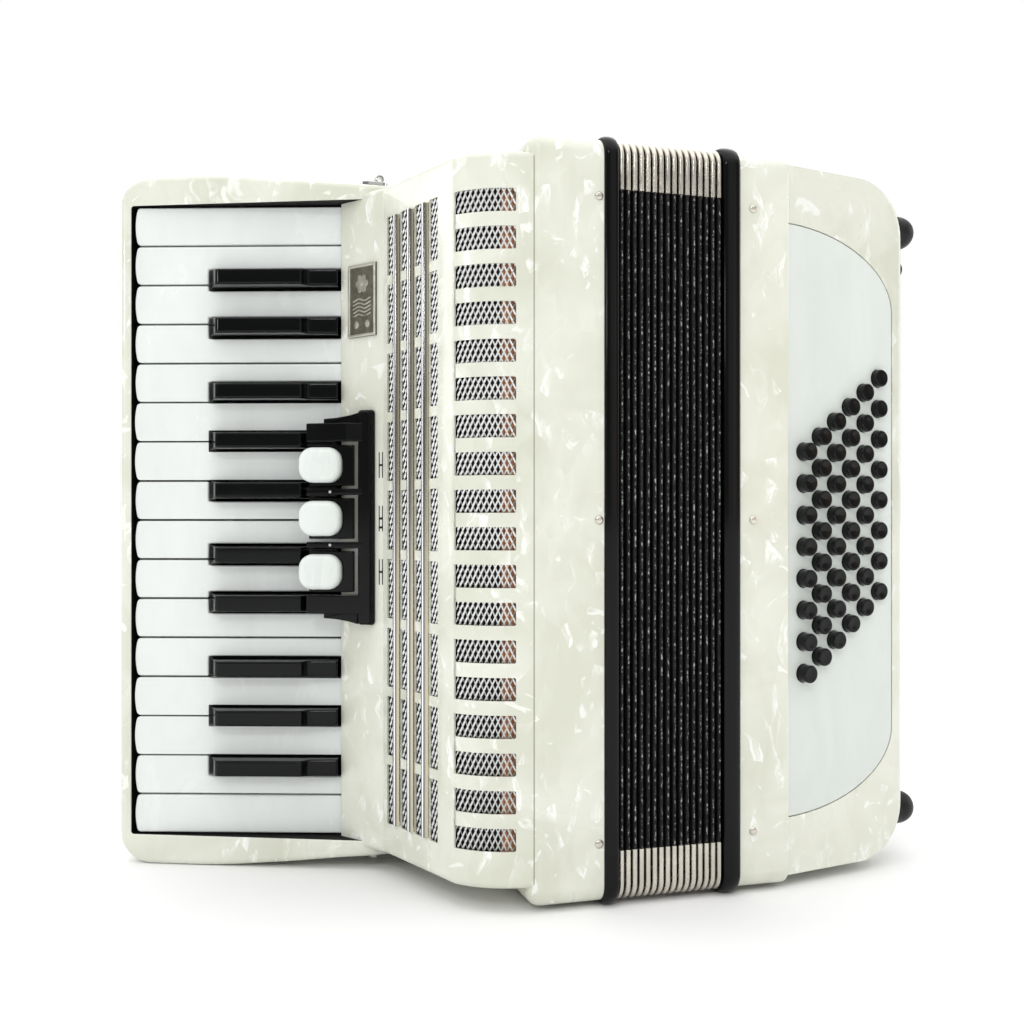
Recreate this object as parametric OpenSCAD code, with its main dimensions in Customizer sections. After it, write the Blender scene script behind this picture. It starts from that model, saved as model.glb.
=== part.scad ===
// Piano accordion with a keyboard of 26 keys and 48 bass buttons, standing on its lower end.
// The row frame has +Z along the keyboard, +X from the keyboard to the bass end, and the
// grille faces -Y. Every module draws in a working frame whose x = 0 is the seam between the
// grille cover and the treble casing, and whose y = 0 is the front face of the casings.

/* [Casings] */
// Height over the two bellows frames, standing on end
overall_h = 333; // [330:1:340]
// Depth of the casings, front to back
casing_d = 170; // [165:1:180]
// Height of the casings and of the bellows folds
casing_h = 329; // [326:1:330]
// Width of the treble casing, from the grille cover to the bellows
treble_w = 33.6; // [30:0.2:38]
// Width of the bass casing, from the bellows to the bass cover
bass_w = 25; // [22:0.5:30]
// Wall thickness of both casings
casing_wall = 7; // [6:0.5:8]
// Corner radius of the casings
casing_r = 8; // [8:1:12]
// Thickness of the two soundboards
soundboard_t = 5; // [4:0.5:6]

/* [Bellows] */
// Number of folds
folds = 16; // [12:1:17]
// Width of one closed fold
fold_pitch = 3.09; // [3:0.01:3.4]
// Depth of a fold, from its ridge inwards
fold_depth = 22; // [18:1:24]
// Height of the ridges over the valleys when the bellows are closed
ridge_h = 2.2; // [1.5:0.1:3]
// How far the bellows frames stand proud of the casings
frame_proud = 2; // [1:0.5:2]
// Visible width of the bellows frame on the treble side
treble_frame_w = 6.4; // [6:0.2:8]
// Visible width of the bellows frame on the bass side
bass_frame_w = 8.2; // [7:0.2:10]

/* [Keyboard] */
// Distance from one white key to the next
key_pitch = 19; // [18.6:0.1:19.2]
// Visible length of a white key
white_len = 101; // [96:1:106]
// Visible length of a black key
black_len = 64; // [60:1:68]
// Gap between neighbouring keys
key_gap = 0.8; // [0.6:0.1:1.2]
// Width of a black key at its base
black_w = 9.8; // [9.2:0.1:10.2]
// Height of a black key above the white ones
black_h = 9.5; // [8.5:0.5:10]
// Depth of a key body below its top
key_h = 14; // [13:0.5:15]
// Sweep of the key plane away from the front face, in degrees
key_sweep = 18.5; // [17:0.5:20]
// Radius of the steel rod that the keys turn on
rod_r = 1.5; // [1.4:0.1:1.6]
// Radial clearance of a running bore
running_fit = 0.05; // [0.03:0.01:0.09]

/* [Grille] */
// Height of the grille cover
grille_h = 311.6; // [308:0.2:312]
// Thickness of the celluloid-covered shells
shell_t = 2.6; // [2.2:0.1:3]
// Number of front slots
slots = 18; // [16:2:18]
// Distance from one front slot to the next
slot_pitch = 15.87; // [15.5:0.01:16]
// Height of a front slot
slot_h = 9.8; // [9:0.1:11]
// Height of a side window
window_h = 27.3; // [26:0.1:28.5]
// Width of a side window
window_w = 7; // [6.4:0.1:7.2]
// Distance from one column of side windows to the next
window_step = 12.4; // [12.2:0.1:12.8]
// Radius of the half-round bars between the windows
bar_r = 2.5; // [2:0.1:2.6]

/* [Registers] */
// Distance from one register switch to the next
switch_pitch = 25; // [24.5:0.5:26]
// Width of a switch cap along the keyboard
cap_w = 16.5; // [15:0.5:17]
// Length of a switch cap across the keys
cap_l = 20; // [19:0.5:21]
// Thickness of a switch cap
cap_t = 7; // [6:0.5:7.5]

/* [Bass end] */
// Height of the bass cover
cover_h = 322; // [318:1:324]
// Width of the bass cover, from the casing to its outer face
cover_w = 73; // [71:1:76]
// Slant of the button board, in degrees
board_slant = 12.2; // [11:0.2:14]
// Width of the button board along its slant
board_w = 67; // [66:0.5:68]
// Height of the button board at its edge beside the casing
board_h = 269; // [260:1:272]
// Height of the straight outer edge of the button board
board_flat_h = 198; // [190:1:204]
// Distance from one button to the next in a row
button_pitch = 14.46; // [14.2:0.01:14.7]
// Distance from one row of buttons to the next
row_step = 9.34; // [9.2:0.01:9.5]
// Radius of a button
button_r = 4.1; // [3.8:0.1:4.2]
// How far a button of the first row stands out of the board
button_out = 5.2; // [4.6:0.1:5.6]
// Height of a rubber foot
foot_h = 14; // [10:1:15]
// Space for the hand under the middle of the strap
hand_gap = 24; // [20:1:28]

/* [Hidden] */

$fn = 48;
over = 1;                                  // overrun of a cutting shape
least_r = 2;                               // least radius of an inner corner
white_keys = 16;                           // from the lowest note at the top end
octave = 7;                                // white keys in an octave
mid_z = overall_h / 2;
mid_y = casing_d / 2;

// Stations along X
x_folds = treble_w + treble_frame_w;
x_bass_frame = x_folds + folds * fold_pitch;
x_bass = x_bass_frame + bass_frame_w;
x_cover = x_bass + bass_w;
x_out = x_cover + cover_w;

// Casings and bellows
tenon_t = 6;                               // wall of the frame's tenon inside a casing
tenon_l = 9;                               // length of that tenon
pin_inset = 2.7;                           // treble pins, from the casing's bellows edge
bass_pin_inset = 6.56;                     // bass pins, from the casing's bellows edge
pin_r = 1.3;
pin_head_r = 2;
pin_head_h = 1.1;
pin_z = [-138.4, 0, 138.4];                // pins above and below the middle
end_gap = 0.3;                             // bellows to the bass frame when closed
valley_part = 0.38;                        // part of a fold's pitch that its valley takes

// Grille cover: its section from the seam to the keys, each point with its radius
grille_path = [[0, 1.6], [-18.6, 6.1], [-29, 17.5], [-48.1, 74.3], [-64, 98.3]];
grille_radii = [0, 36, 12, 5, 0];
grille_z = mid_z - grille_h / 2;
key_foot = [-63.4, 99.9];                  // where the key tops pass under the cover
side_dir = unit(grille_path[3] - grille_path[2]);
side_angle = atan2(side_dir.y, side_dir.x);
wall_dir = unit(grille_path[4] - grille_path[3]);
wall_angle = atan2(wall_dir.y, wall_dir.x);
first_column = 15.7;                       // first window column, from the front corner
columns = 4;
window_rows = 9;
slot_x = [-28, -4.8];                      // a front slot's left and right ends
slot_y = 16.5;                             // how deep its cutter may reach
mesh_t = 0.6;
mesh_from = [-46, 5.2];                    // front corner of the mesh in plan, and its extent
mesh_reach = [44, 64];
bar_l = 279.6;

// Keys, in the key frame: u runs outwards along the key tops, n stands up from them
key_top_end = -16;                         // inner end of a key body
rod_at = [-12, -8];                        // the key rod in the key frame
key_tip_r = 34;                            // convex tips of the white keys
keybed_n = -21;                            // felted floor under the keys
lip_in = white_len + 1.4;                  // inside of the lip at the key tips
lip_out = white_len + 7.6;
cheek_in = 13.6;                           // inner face of a cheek beside the keys
cheek_hidden = 10.4;                       // the same under the grille cover
clear_u = -70;                             // how far the space for the keys goes under it
clear_n = 40;
arm_t = 4;                                 // thickness of a key's arm along Z
arm = [[-47.6, 98.4], [-15, 95], [-10, 72], [-10, 42], [-6, 42], [-6, 74], [-11.5, 99],
       [-45.6, 104.2]];
pallet_x = [-6, -0.6];
pallet_y = [38, 74];
pallet_w = 8.6;
hole_y = [43, 69];                         // air holes under the pallets
hole_w = 6;
black_octave = [1.88, 3.1, 4.75, 5.99, 7.25];
black_at = concat(black_octave, [for (p = black_octave) p + octave]);
notch = (black_w / 2 + key_gap) / key_pitch;

// Registers
switch_z = mid_z + 0.7;
axle_at = [-5, 12];                        // switch pivots in the key frame
cap_u = [-3, -3 + cap_l];
cap_top = 22.5;
switch_r = 3;                              // hub of a switch
stub_l = 1.4;                              // stub of a switch in its bearing
separator_t = 4;
register_end = [36, 45.5];                 // end blocks, from the middle switch
flange_end = 51;

// Bass end
board_foot = [x_cover, 4.3];               // the board's edge beside the casing
cover_y = [4.3, 166];
board_t = 2.4;
board_sunk = 0.2;
board_fit = 0.3;                           // round the buttons, and beside the bass casing
rows = 6;
row_buttons = 8;
first_row = 11.1;                          // first row, from the casing
row_lean = 0.44;                           // each row stands less proud than the one before
rows_z = mid_z - 1.4;
foot_r = 9;
foot_y = [34, 150];
foot_z = 142;
air_at = [31, mid_z + 123];                // air button, y and z
air_r = 4;
air_out = 7.5;
strap_y = [70, 122];
strap_t = 3;
strap_z = [34, 266];
strap_end = 16;                            // flat end of the strap, and its whole slope
strap_slope = 70;
wheel_r = 10.4;
wheel_h = 6;
wheel_at = [x_out - 5.2, 96, 284];
spindle_r = 1.5;
spindle_z = [275, 296];
lug_z = [277, 291];                        // two lugs that carry the spindle
lug_t = 5;
wheel_room = 1;                            // clearance of the wheel in its slot

// The origin is the middle of the overall box, at the standing face
x_left = key_point(lip_out, 0).x - 0.3;
x_right = x_out + hand_gap + strap_t;
to_row = [-(x_left + x_right) / 2, -mid_y, 0];

// ---- geometry helpers ----

function unit(v) = v / norm(v);
function normal(a, b) = let(v = unit(b - a)) [-v.y, v.x];
function key_point(u, n) = key_foot + u * [-cos(key_sweep), sin(key_sweep)]
    + n * [-sin(key_sweep), -cos(key_sweep)];

// Points of the arc that rounds corner b of the path a, b, c
function corner(a, b, c, r, steps = 8) =
    r <= 0 ? [b] :
    let(
        to_a = unit(a - b),
        to_c = unit(c - b),
        half = acos(to_a * to_c) / 2,
        centre = b + unit(to_a + to_c) * r / sin(half),
        start = b + to_a * r / tan(half) - centre,
        end = b + to_c * r / tan(half) - centre,
        from = atan2(start.y, start.x),
        turn = atan2(start.x * end.y - start.y * end.x, start * end)
    )
    [for (i = [0:steps]) centre + r * [cos(from + turn * i / steps), sin(from + turn * i / steps)]];

// An open path with rounded corners, and a closed one
function rounded_path(p, r) =
    [for (i = [0:len(p) - 1]) each (i == 0 || i == len(p) - 1) ? [p[i]] :
        corner(p[i - 1], p[i], p[i + 1], r[i])];
function rounded_loop(p, r) =
    let(n = len(p))
    [for (i = [0:n - 1]) each corner(p[(i + n - 1) % n], p[i], p[(i + 1) % n], r[i])];

// An open path moved to its left by d
function shifted(p, d) =
    let(last = len(p) - 2)
    [for (i = [0:len(p) - 1])
        let(
            before = normal(p[max(i - 1, 0)], p[max(i - 1, 0) + 1]),
            after = normal(p[min(i, last)], p[min(i, last) + 1])
        )
        p[i] + d * (before + after) / (1 + before * after)];

function backwards(p) = [for (i = [len(p) - 1:-1:0]) p[i]];
function less(r, d) = [for (v = r) max(v - d, 0)];

// The grille cover's section, d inside its outer face
function grille_line(d) = rounded_path(shifted(grille_path, -d), less(grille_radii, d));

module to_row() translate(to_row) children();

module key_frame() translate(key_foot) rotate([0, 0, 180 - key_sweep]) children();

module board_frame() translate(board_foot) rotate([0, 0, board_slant]) children();

// Draws a YZ section, centred on the casings, from x over a length along X
module section_x(x, length) {
    translate([x, mid_y, mid_z]) rotate([90, 0, 90]) linear_extrude(length) children();
}

// Draws a section of the u (or s) and Z directions, from depth y inwards
module section_y(y, length) {
    translate([0, y + length, 0]) rotate([90, 0, 0]) linear_extrude(length) children();
}

module rounded_rect(w, h, r) {
    square([w - 2 * r, h], center = true);
    square([w, h - 2 * r], center = true);
    for (x = [-1, 1], y = [-1, 1])
        translate([x * (w / 2 - r), y * (h / 2 - r)]) circle(r);
}

module ring(w, h, r, wall) {
    difference() {
        rounded_rect(w, h, r);
        rounded_rect(w - 2 * wall, h - 2 * wall, max(r - wall, least_r));
    }
}

// A ring that follows the casings, from one inset to another
module casing_ring(x, length, outer, inner) {
    section_x(x, length)
        ring(casing_d - 2 * outer, casing_h - 2 * outer, max(casing_r - outer, least_r),
             inner - outer);
}

module block(x, y, z) {
    translate([x[0], y[0], z[0]]) cube([x[1] - x[0], y[1] - y[0], z[1] - z[0]]);
}

// ---- casings and bellows ----

// Shapes of the six pins at x, through both casing walls
module pins_at(x, head_r, shank_r, shank_l) {
    for (z = pin_z, side = [0, 1])
        translate([x, side * casing_d, mid_z + z]) rotate([side ? -90 : 90, 0, 0]) {
            translate([0, 0, -shank_l]) cylinder(h = shank_l, r = shank_r);
            if (head_r > 0) pin_head(head_r);
        }
}

// A domed head on its own flat, standing on z = 0
module pin_head(r) {
    dome_r = (r * r + pin_head_h * pin_head_h) / (2 * pin_head_h);
    intersection() {
        translate([0, 0, pin_head_h - dome_r]) sphere(dome_r);
        cylinder(h = pin_head_h + over, r = r);
    }
}

module casing_shell(x, length, pin_x) {
    difference() {
        casing_ring(x, length, 0, casing_wall);
        pins_at(pin_x, 0, pin_r, casing_wall + over);
    }
}

// A bellows frame: the black rim and the tenon that the casing holds
module bellows_frame(rim_x, rim_w, tenon_x, pin_x) {
    color([0.05, 0.05, 0.05]) to_row() difference() {
        union() {
            section_x(rim_x, rim_w)
                ring(casing_d + 2 * frame_proud, overall_h, casing_r + frame_proud,
                     casing_wall + tenon_t + frame_proud);
            casing_ring(tenon_x, tenon_l, casing_wall, casing_wall + tenon_t);
        }
        pins_at(pin_x, 0, pin_r, casing_wall + tenon_t - over);
    }
}

module casing_screws(pin_x) {
    color([0.8, 0.8, 0.8]) to_row()
        pins_at(pin_x, pin_head_r, pin_r, casing_wall + tenon_t - over);
}

module treble_casing() {
    color([0.88, 0.89, 0.83]) to_row()
        casing_shell(0, treble_w, treble_w - pin_inset);
}

module treble_bellows_frame() {
    bellows_frame(treble_w, treble_frame_w, treble_w - tenon_l, treble_w - pin_inset);
}

module treble_casing_screws() {
    casing_screws(treble_w - pin_inset);
}

module soundboard_plate(x) {
    section_x(x, soundboard_t)
        rounded_rect(casing_d - 2 * casing_wall, casing_h - 2 * casing_wall,
                     max(casing_r - casing_wall, least_r));
}

// The treble soundboard, with an air hole under every pallet
module treble_soundboard() {
    color([0.78, 0.62, 0.42]) to_row() difference() {
        soundboard_plate(0);
        for (p = concat([for (i = [0:white_keys - 1]) neck_middle(i)], black_at))
            block([-over, soundboard_t + over], hole_y,
                  [key_z(p) - hole_w / 2, key_z(p) + hole_w / 2]);
    }
}

// A reed block: a comb of chambers that stands on a soundboard
module reed_block(x, y, width, chambers) {
    half_l = 140;
    wall = 3;
    z = [mid_z - half_l, mid_z + half_l];
    pitch = 2 * half_l / chambers;
    difference() {
        block(x, [y - width / 2, y + width / 2], z);
        for (i = [0:chambers - 1])
            block([x[0] + wall, x[1] - wall], [y - width / 2 - over, y + width / 2 + over],
                  [z[0] + pitch * i + wall / 2, z[0] + pitch * (i + 1) - wall / 2]);
    }
}

module treble_reed_blocks() {
    reach = 50;
    color([0.72, 0.52, 0.32]) to_row()
        for (y = [56, 96])
            reed_block([soundboard_t, reach], y, 18, 13);
}

// Folded card walls, drawn as the ridges of the closed folds round a hollow
module bellows() {
    color([0.08, 0.08, 0.08]) to_row() {
        casing_ring(x_folds, folds * fold_pitch - end_gap, ridge_h, fold_depth);
        for (i = [0:folds - 1])
            casing_ring(x_folds + fold_pitch * (i + valley_part / 2),
                        fold_pitch * (1 - valley_part), 0, ridge_h + over);
    }
}

module bass_bellows_frame() {
    bellows_frame(x_bass_frame, bass_frame_w, x_bass, x_bass + bass_pin_inset);
}

module bass_casing() {
    color([0.88, 0.89, 0.83]) to_row()
        casing_shell(x_bass, bass_w, x_bass + bass_pin_inset);
}

module bass_casing_screws() {
    casing_screws(x_bass + bass_pin_inset);
}

// The bass soundboard, with two rows of air holes for its valves
module bass_soundboard() {
    valves = 12;
    valve_pitch = 20;
    hole_l = 16;
    hole_h = 8;
    color([0.78, 0.62, 0.42]) to_row() difference() {
        soundboard_plate(x_cover - soundboard_t);
        for (y = [50, 112], i = [0:valves - 1])
            let(z = mid_z + (i - (valves - 1) / 2) * valve_pitch)
                block([x_cover - soundboard_t - over, x_cover + over], [y, y + hole_l],
                      [z - hole_h / 2, z + hole_h / 2]);
    }
}

module bass_reed_blocks() {
    reach = 60;
    color([0.72, 0.52, 0.32]) to_row()
        for (y = [58, 120])
            reed_block([reach, x_cover - soundboard_t], y, 20, 12);
}

// ---- grille ----

// The grille cover: a shell with closed ends, open to the keys and to the casing
module grille_cover() {
    last = grille_path[4];
    color([0.88, 0.89, 0.83]) to_row() difference() {
        translate([0, 0, grille_z]) linear_extrude(grille_h)
            polygon(concat(grille_line(0), [[0, last.y]]));
        translate([0, 0, grille_z + shell_t]) linear_extrude(grille_h - 2 * shell_t)
            polygon(concat([[over, grille_path[0].y + shell_t]], grille_line(shell_t),
                           [last + 8 * wall_dir, [over, last.y + 8]]));
        front_slots();
        side_windows();
    }
}

module front_slots() {
    for (i = [0:slots - 1])
        let(z = mid_z + (i - (slots - 1) / 2) * slot_pitch)
            block(slot_x, [-over, slot_y], [z - slot_h / 2, z + slot_h / 2]);
}

// Draws on the side panel: x runs from its front corner to the wall, y runs outwards
module on_side() translate(grille_path[2]) rotate([0, 0, side_angle]) children();

module side_windows() {
    for (row = [0:window_rows - 1], column = [0:columns - 1])
        let(z = mid_z + (row - (window_rows - 1) / 2) * 2 * slot_pitch,
            x = first_column + column * window_step)
            on_side() block([x - window_w / 2, x + window_w / 2], [-2 * shell_t, over],
                            [z - window_h / 2, z + window_h / 2]);
}

// Chromed expanded metal behind the slots and windows
module grille_mesh() {
    color([0.75, 0.75, 0.75]) to_row()
        translate([0, 0, grille_z + 2 * shell_t]) linear_extrude(grille_h - 4 * shell_t)
            intersection() {
                polygon(concat(grille_line(shell_t), backwards(grille_line(shell_t + mesh_t))));
                translate([mesh_from.x, mesh_from.y]) square(mesh_reach);
            }
}

// Three half-round bars between the window columns
module grille_bars() {
    color([0.85, 0.85, 0.85]) to_row() on_side()
        for (i = [0:columns - 2])
            translate([first_column + (i + 0.5) * window_step, 0, mid_z - bar_l / 2])
                intersection() {
                    cylinder(h = bar_l, r = bar_r);
                    block([-2 * bar_r, 2 * bar_r], [0, 2 * bar_r], [-over, bar_l + over]);
                }
}

// A pewter plate on the wall beside the keys
module badge_plate() {
    plate_w = 22;
    plate_h = 37;
    plate_t = 1.4;
    above_middle = 104;
    from_keys = 6;
    color([0.45, 0.44, 0.38]) to_row()
        translate(grille_path[4]) rotate([0, 0, wall_angle])
            translate([-from_keys - plate_w, 0, mid_z + above_middle - plate_h / 2])
                cube([plate_w, plate_t, plate_h]);
}

// ---- registers ----

// The black housing: a bar on the wall, two end blocks and two separators
module register_housing() {
    outline = rounded_loop([[-6.1, 6.9], [-1, 11.2], [14, 11.8], [15, 14.4], [-4, 19.6],
                            [-13.4, 17.4], [-16.5, 14.9]], [0, 3, 1, 1, 5, 0, 0]);
    bar = rounded_loop([[-10.2, 9.76], [-10.2, 17], [-14.5, 18.3], [-17.6, 15.52]], [0, 1.5, 2, 0]);
    color([0.04, 0.04, 0.04]) to_row() difference() {
        translate([0, 0, switch_z]) key_frame() {
            for (side = [-1, 1]) {
                translate([0, 0, side * (register_end[0] + register_end[1]) / 2])
                    slab(outline, register_end[1] - register_end[0]);
                translate([0, 0, side * switch_pitch / 2]) slab(outline, separator_t);
            }
            slab(bar, 2 * flange_end);
        }
        translate([0, 0, switch_z]) key_frame() translate(axle_at) {
            cylinder(h = 2 * (register_end[0] + stub_l + over), r = rod_r + running_fit,
                     center = true);
            for (i = [-1:1])
                translate([0, 0, i * switch_pitch])
                    cylinder(h = switch_pitch - separator_t, r = switch_r + 0.6, center = true);
        }
    }
}

// A flat outline, extruded about its middle
module slab(outline, length) {
    translate([0, 0, -length / 2]) linear_extrude(length) polygon(outline);
}

// A register switch: hub and stubs on the pivot line, lever and cap
module register_switch(index) {
    lever_w = 11;
    lever_t = 3;
    hub_l = switch_pitch - separator_t - 0.8;
    color([0.95, 0.95, 0.93]) to_row()
        translate([0, 0, switch_z + (2 - index) * switch_pitch]) key_frame() {
            translate(axle_at) {
                cylinder(h = hub_l, r = switch_r, center = true);
                cylinder(h = hub_l + 2 * stub_l, r = rod_r, center = true);
            }
            block([axle_at.x, cap_u[1] - 4], [cap_top - cap_t - lever_t, cap_top - cap_t + over],
                  [-lever_w / 2, lever_w / 2]);
            translate([(cap_u[0] + cap_u[1]) / 2, 0, 0])
                section_y(cap_top - cap_t, cap_t) rounded_rect(cap_l, cap_w, 6);
        }
}

module register_switch_1() register_switch(1);
module register_switch_2() register_switch(2);
module register_switch_3() register_switch(3);

// ---- keyboard ----

// Height of a place on the keyboard, in white keys from its top end
function key_z(p) = mid_z + (white_keys / 2 - p) * key_pitch;
function neck_from(i) = max([i, for (b = black_at) if (b < i + 0.5) b + notch]);
function neck_to(i) = min([i + 1, for (b = black_at) if (b > i + 0.5) b - notch]);
function neck_middle(i) = (neck_from(i) + neck_to(i)) / 2;

// The keyboard body: bed, cheeks and lip, hollow under the keys
module keyboard_body() {
    plan = rounded_loop(
        [key_point(lip_out, 1), key_point(-10, 11), [-48, 84], [0, 84], [0, casing_d - 2],
         [-118, casing_d - 2], key_point(lip_out, -34)],
        [3, 0, 0, 0, 0, 60, 9]);
    bow = [[-170, 0], [-120, 0], [-85, 3.3], [-57, 6.7], [over, 8]];
    front = rounded_loop(
        concat(bow, [for (p = backwards(bow)) [p.x, overall_h - p.y]]),
        [0, 60, 60, 60, 0, 0, 60, 60, 60, 0]);
    color([0.88, 0.89, 0.83]) to_row() difference() {
        intersection() {
            linear_extrude(overall_h) polygon(plan);
            section_y(0, casing_d) intersection() {
                polygon(front);
                translate([x_left, 0]) keyboard_face();
            }
        }
        key_frame() {
            block([0, lip_in], [keybed_n, clear_n], [cheek_in, overall_h - cheek_in]);
            block([clear_u, over], [keybed_n, clear_n], [cheek_hidden, overall_h - cheek_hidden]);
        }
        rod();
        keyboard_hollow();
    }
}

// The space behind the keybed, open to the casing
module keyboard_hollow() {
    wall = 6;
    back = casing_d - 2 - wall;
    hollow = rounded_loop(
        [key_point(lip_out - wall, keybed_n - wall), key_point(-58, keybed_n - wall),
         [over, 108], [over, back], [-114, back], key_point(lip_out - wall, wall - 35)],
        [1, 0, 0, 0, 20, 1]);
    translate([0, 0, cheek_in]) linear_extrude(overall_h - 2 * cheek_in) polygon(hollow);
}

// The front view of the keyboard body, with round outer corners
module keyboard_face() {
    face_w = 200;
    corner_r = 16;
    translate([face_w / 2, mid_z]) rounded_rect(face_w, overall_h, corner_r);
}

// The rod that the keys turn on, held by both cheeks
module rod() {
    end_z = 8;
    key_frame() translate([rod_at.x, rod_at.y, end_z])
        cylinder(h = overall_h - 2 * end_z, r = rod_r);
}

module key_rod() {
    color([0.7, 0.7, 0.72]) to_row() rod();
}

// The arm and pallet of a key at place p, behind the grille
module key_arm(p) {
    translate([0, 0, key_z(p) - arm_t / 2]) linear_extrude(arm_t) polygon(arm);
    block(pallet_x, pallet_y, [key_z(p) - pallet_w / 2, key_z(p) + pallet_w / 2]);
}

module key_bore() {
    translate([rod_at.x, rod_at.y, 0]) cylinder(h = overall_h, r = rod_r + running_fit);
}

// A white key: its side view and its top view intersected, with a bore for the rod
module white_key(i) {
    side = rounded_loop([[key_top_end, 0], [white_len, 0], [white_len, 1 - key_h],
                         [key_top_end, -key_h]], [0, 2, 2, 0]);
    low = key_z(i + 1) + key_gap / 2;
    high = key_z(i) - key_gap / 2;
    neck_low = key_z(neck_to(i)) + (neck_to(i) == i + 1 ? key_gap / 2 : 0);
    neck_high = key_z(neck_from(i)) - (neck_from(i) == i ? key_gap / 2 : 0);
    color([0.93, 0.95, 0.93]) to_row() {
        key_arm(neck_middle(i));
        key_frame() difference() {
            intersection() {
                linear_extrude(overall_h) polygon(side);
                section_y(-key_h, key_h) {
                    translate([key_top_end, neck_low])
                        square([black_len + 1 - key_top_end + over, neck_high - neck_low]);
                    intersection() {
                        translate([black_len + 1, low])
                            square([white_len - black_len, high - low]);
                        translate([white_len - key_tip_r, (low + high) / 2]) circle(key_tip_r);
                    }
                }
            }
            key_bore();
        }
    }
}

// A black key: its side view cut to a tapered section, with a bore for the rod
module black_key(index) {
    p = black_at[index - 1];
    side = rounded_loop(
        [[key_top_end, -1], [1, -1], [1, 6], [15, 6.8], [18, black_h], [black_len - 5, black_h],
         [black_len, 0], [black_len, -key_h], [key_top_end, -key_h]],
        [0, 0, 1, 2, 2, 3, 0.5, 0, 0]);
    half = black_w / 2;
    top_half = half - 0.7;
    color([0.03, 0.03, 0.03]) to_row() {
        key_arm(p);
        key_frame() difference() {
            intersection() {
                linear_extrude(overall_h) polygon(side);
                translate([key_top_end, 0, key_z(p)]) rotate([90, 0, 90])
                    linear_extrude(black_len - key_top_end)
                        polygon([[-key_h, -half], [0, -half], [black_h, -top_half],
                                 [black_h, top_half], [0, half], [-key_h, half]]);
            }
            key_bore();
        }
    }
}

module white_key_01() white_key(0);
module white_key_02() white_key(1);
module white_key_03() white_key(2);
module white_key_04() white_key(3);
module white_key_05() white_key(4);
module white_key_06() white_key(5);
module white_key_07() white_key(6);
module white_key_08() white_key(7);
module white_key_09() white_key(8);
module white_key_10() white_key(9);
module white_key_11() white_key(10);
module white_key_12() white_key(11);
module white_key_13() white_key(12);
module white_key_14() white_key(13);
module white_key_15() white_key(14);
module white_key_16() white_key(15);
module black_key_01() black_key(1);
module black_key_02() black_key(2);
module black_key_03() black_key(3);
module black_key_04() black_key(4);
module black_key_05() black_key(5);
module black_key_06() black_key(6);
module black_key_07() black_key(7);
module black_key_08() black_key(8);
module black_key_09() black_key(9);
module black_key_10() black_key(10);

// Shoulder strap bracket on the upper end of the keyboard body, and a stud below
module strap_brackets() {
    at = [-49, 94];
    base = [13, 9, 1.2];
    base_z = overall_h - 6.7;
    screw_x = -3.6;
    eye_x = 2.6;
    eye_l = 6;
    eye_r = 2.2;
    eye_bore = 1.2;
    color([0.8, 0.8, 0.8]) to_row() {
        translate([at.x, at.y, base_z + base.z]) {
            translate([0, 0, -base.z / 2]) cube(base, center = true);
            translate([screw_x, 0, 0]) pin_head(eye_r);
            translate([eye_x, -eye_l / 2, eye_r]) rotate([-90, 0, 0]) difference() {
                cylinder(h = eye_l, r = eye_r);
                translate([0, 0, -over]) cylinder(h = eye_l + 2 * over, r = eye_bore);
            }
        }
        translate([at.x, at.y, overall_h - base_z]) mirror([0, 0, 1]) pin_head(2 * eye_bore);
    }
}

// ---- bass end ----

// Half of the button board's outline is an elliptical arc down to its straight edge
function board_outline() =
    let(
        steps = 12,
        flat = board_flat_h / 2,
        rise = (board_h - board_flat_h) / 2,
        upper = [for (i = [0:steps])
            [board_w * sin(90 * i / steps), flat + rise * cos(90 * i / steps)]]
    )
    concat(upper, [for (p = backwards(upper)) [p.x, -p.y]]);

module bass_section(inset) {
    slant_rise = (cover_w - inset) * tan(board_slant) + inset / cos(board_slant);
    polygon(rounded_loop(
        [[x_cover - (inset > 0 ? over : 0), cover_y[0] + inset / cos(board_slant)],
         [x_out - inset, cover_y[0] + slant_rise],
         [x_out - inset, cover_y[1] - inset],
         [x_cover - (inset > 0 ? over : 0), cover_y[1] - inset]],
        [0, 6 - inset, 12 - inset, 0]));
}

// The bass cover: a shell open to the casing, cut out for the board, air button and wheel
module bass_cover() {
    color([0.88, 0.89, 0.83]) to_row() {
        difference() {
            bass_block(0);
            bass_block(shell_t);
            board_frame() translate([0, 0, mid_z])
                section_y(-over, shell_t + 3 * over) polygon(board_outline());
            translate([x_out - shell_t - over, air_at[0], air_at[1]]) rotate([0, 90, 0])
                cylinder(h = shell_t + 2 * over, r = air_r + board_fit);
            block([x_out - shell_t - over, x_out + over],
                  [wheel_at.y - wheel_r, wheel_at.y + wheel_r],
                  [wheel_at.z - wheel_room, wheel_at.z + wheel_h + wheel_room]);
        }
        for (z = lug_z)
            difference() {
                block([wheel_at.x - lug_t, x_out - over],
                      [wheel_at.y - lug_t, wheel_at.y + lug_t], [z, z + lug_t]);
                translate([wheel_at.x, wheel_at.y, z - over])
                    cylinder(h = lug_t + 2 * over, r = spindle_r + running_fit);
            }
    }
}

// The bass cover as a solid block, inset from its outer faces
module bass_block(inset) {
    intersection() {
        translate([0, 0, mid_z - cover_h / 2]) linear_extrude(cover_h) bass_section(inset);
        bass_end_face(inset);
    }
}

// Rounds the four outer corners of the bass cover in the front view
module bass_end_face(inset) {
    corner_r = 28;
    reach = 2 * cover_w;
    translate([x_out - reach / 2 - inset, 0, mid_z])
        section_y(-over, casing_d) rounded_rect(reach, cover_h - 2 * inset, corner_r - inset);
}

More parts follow.
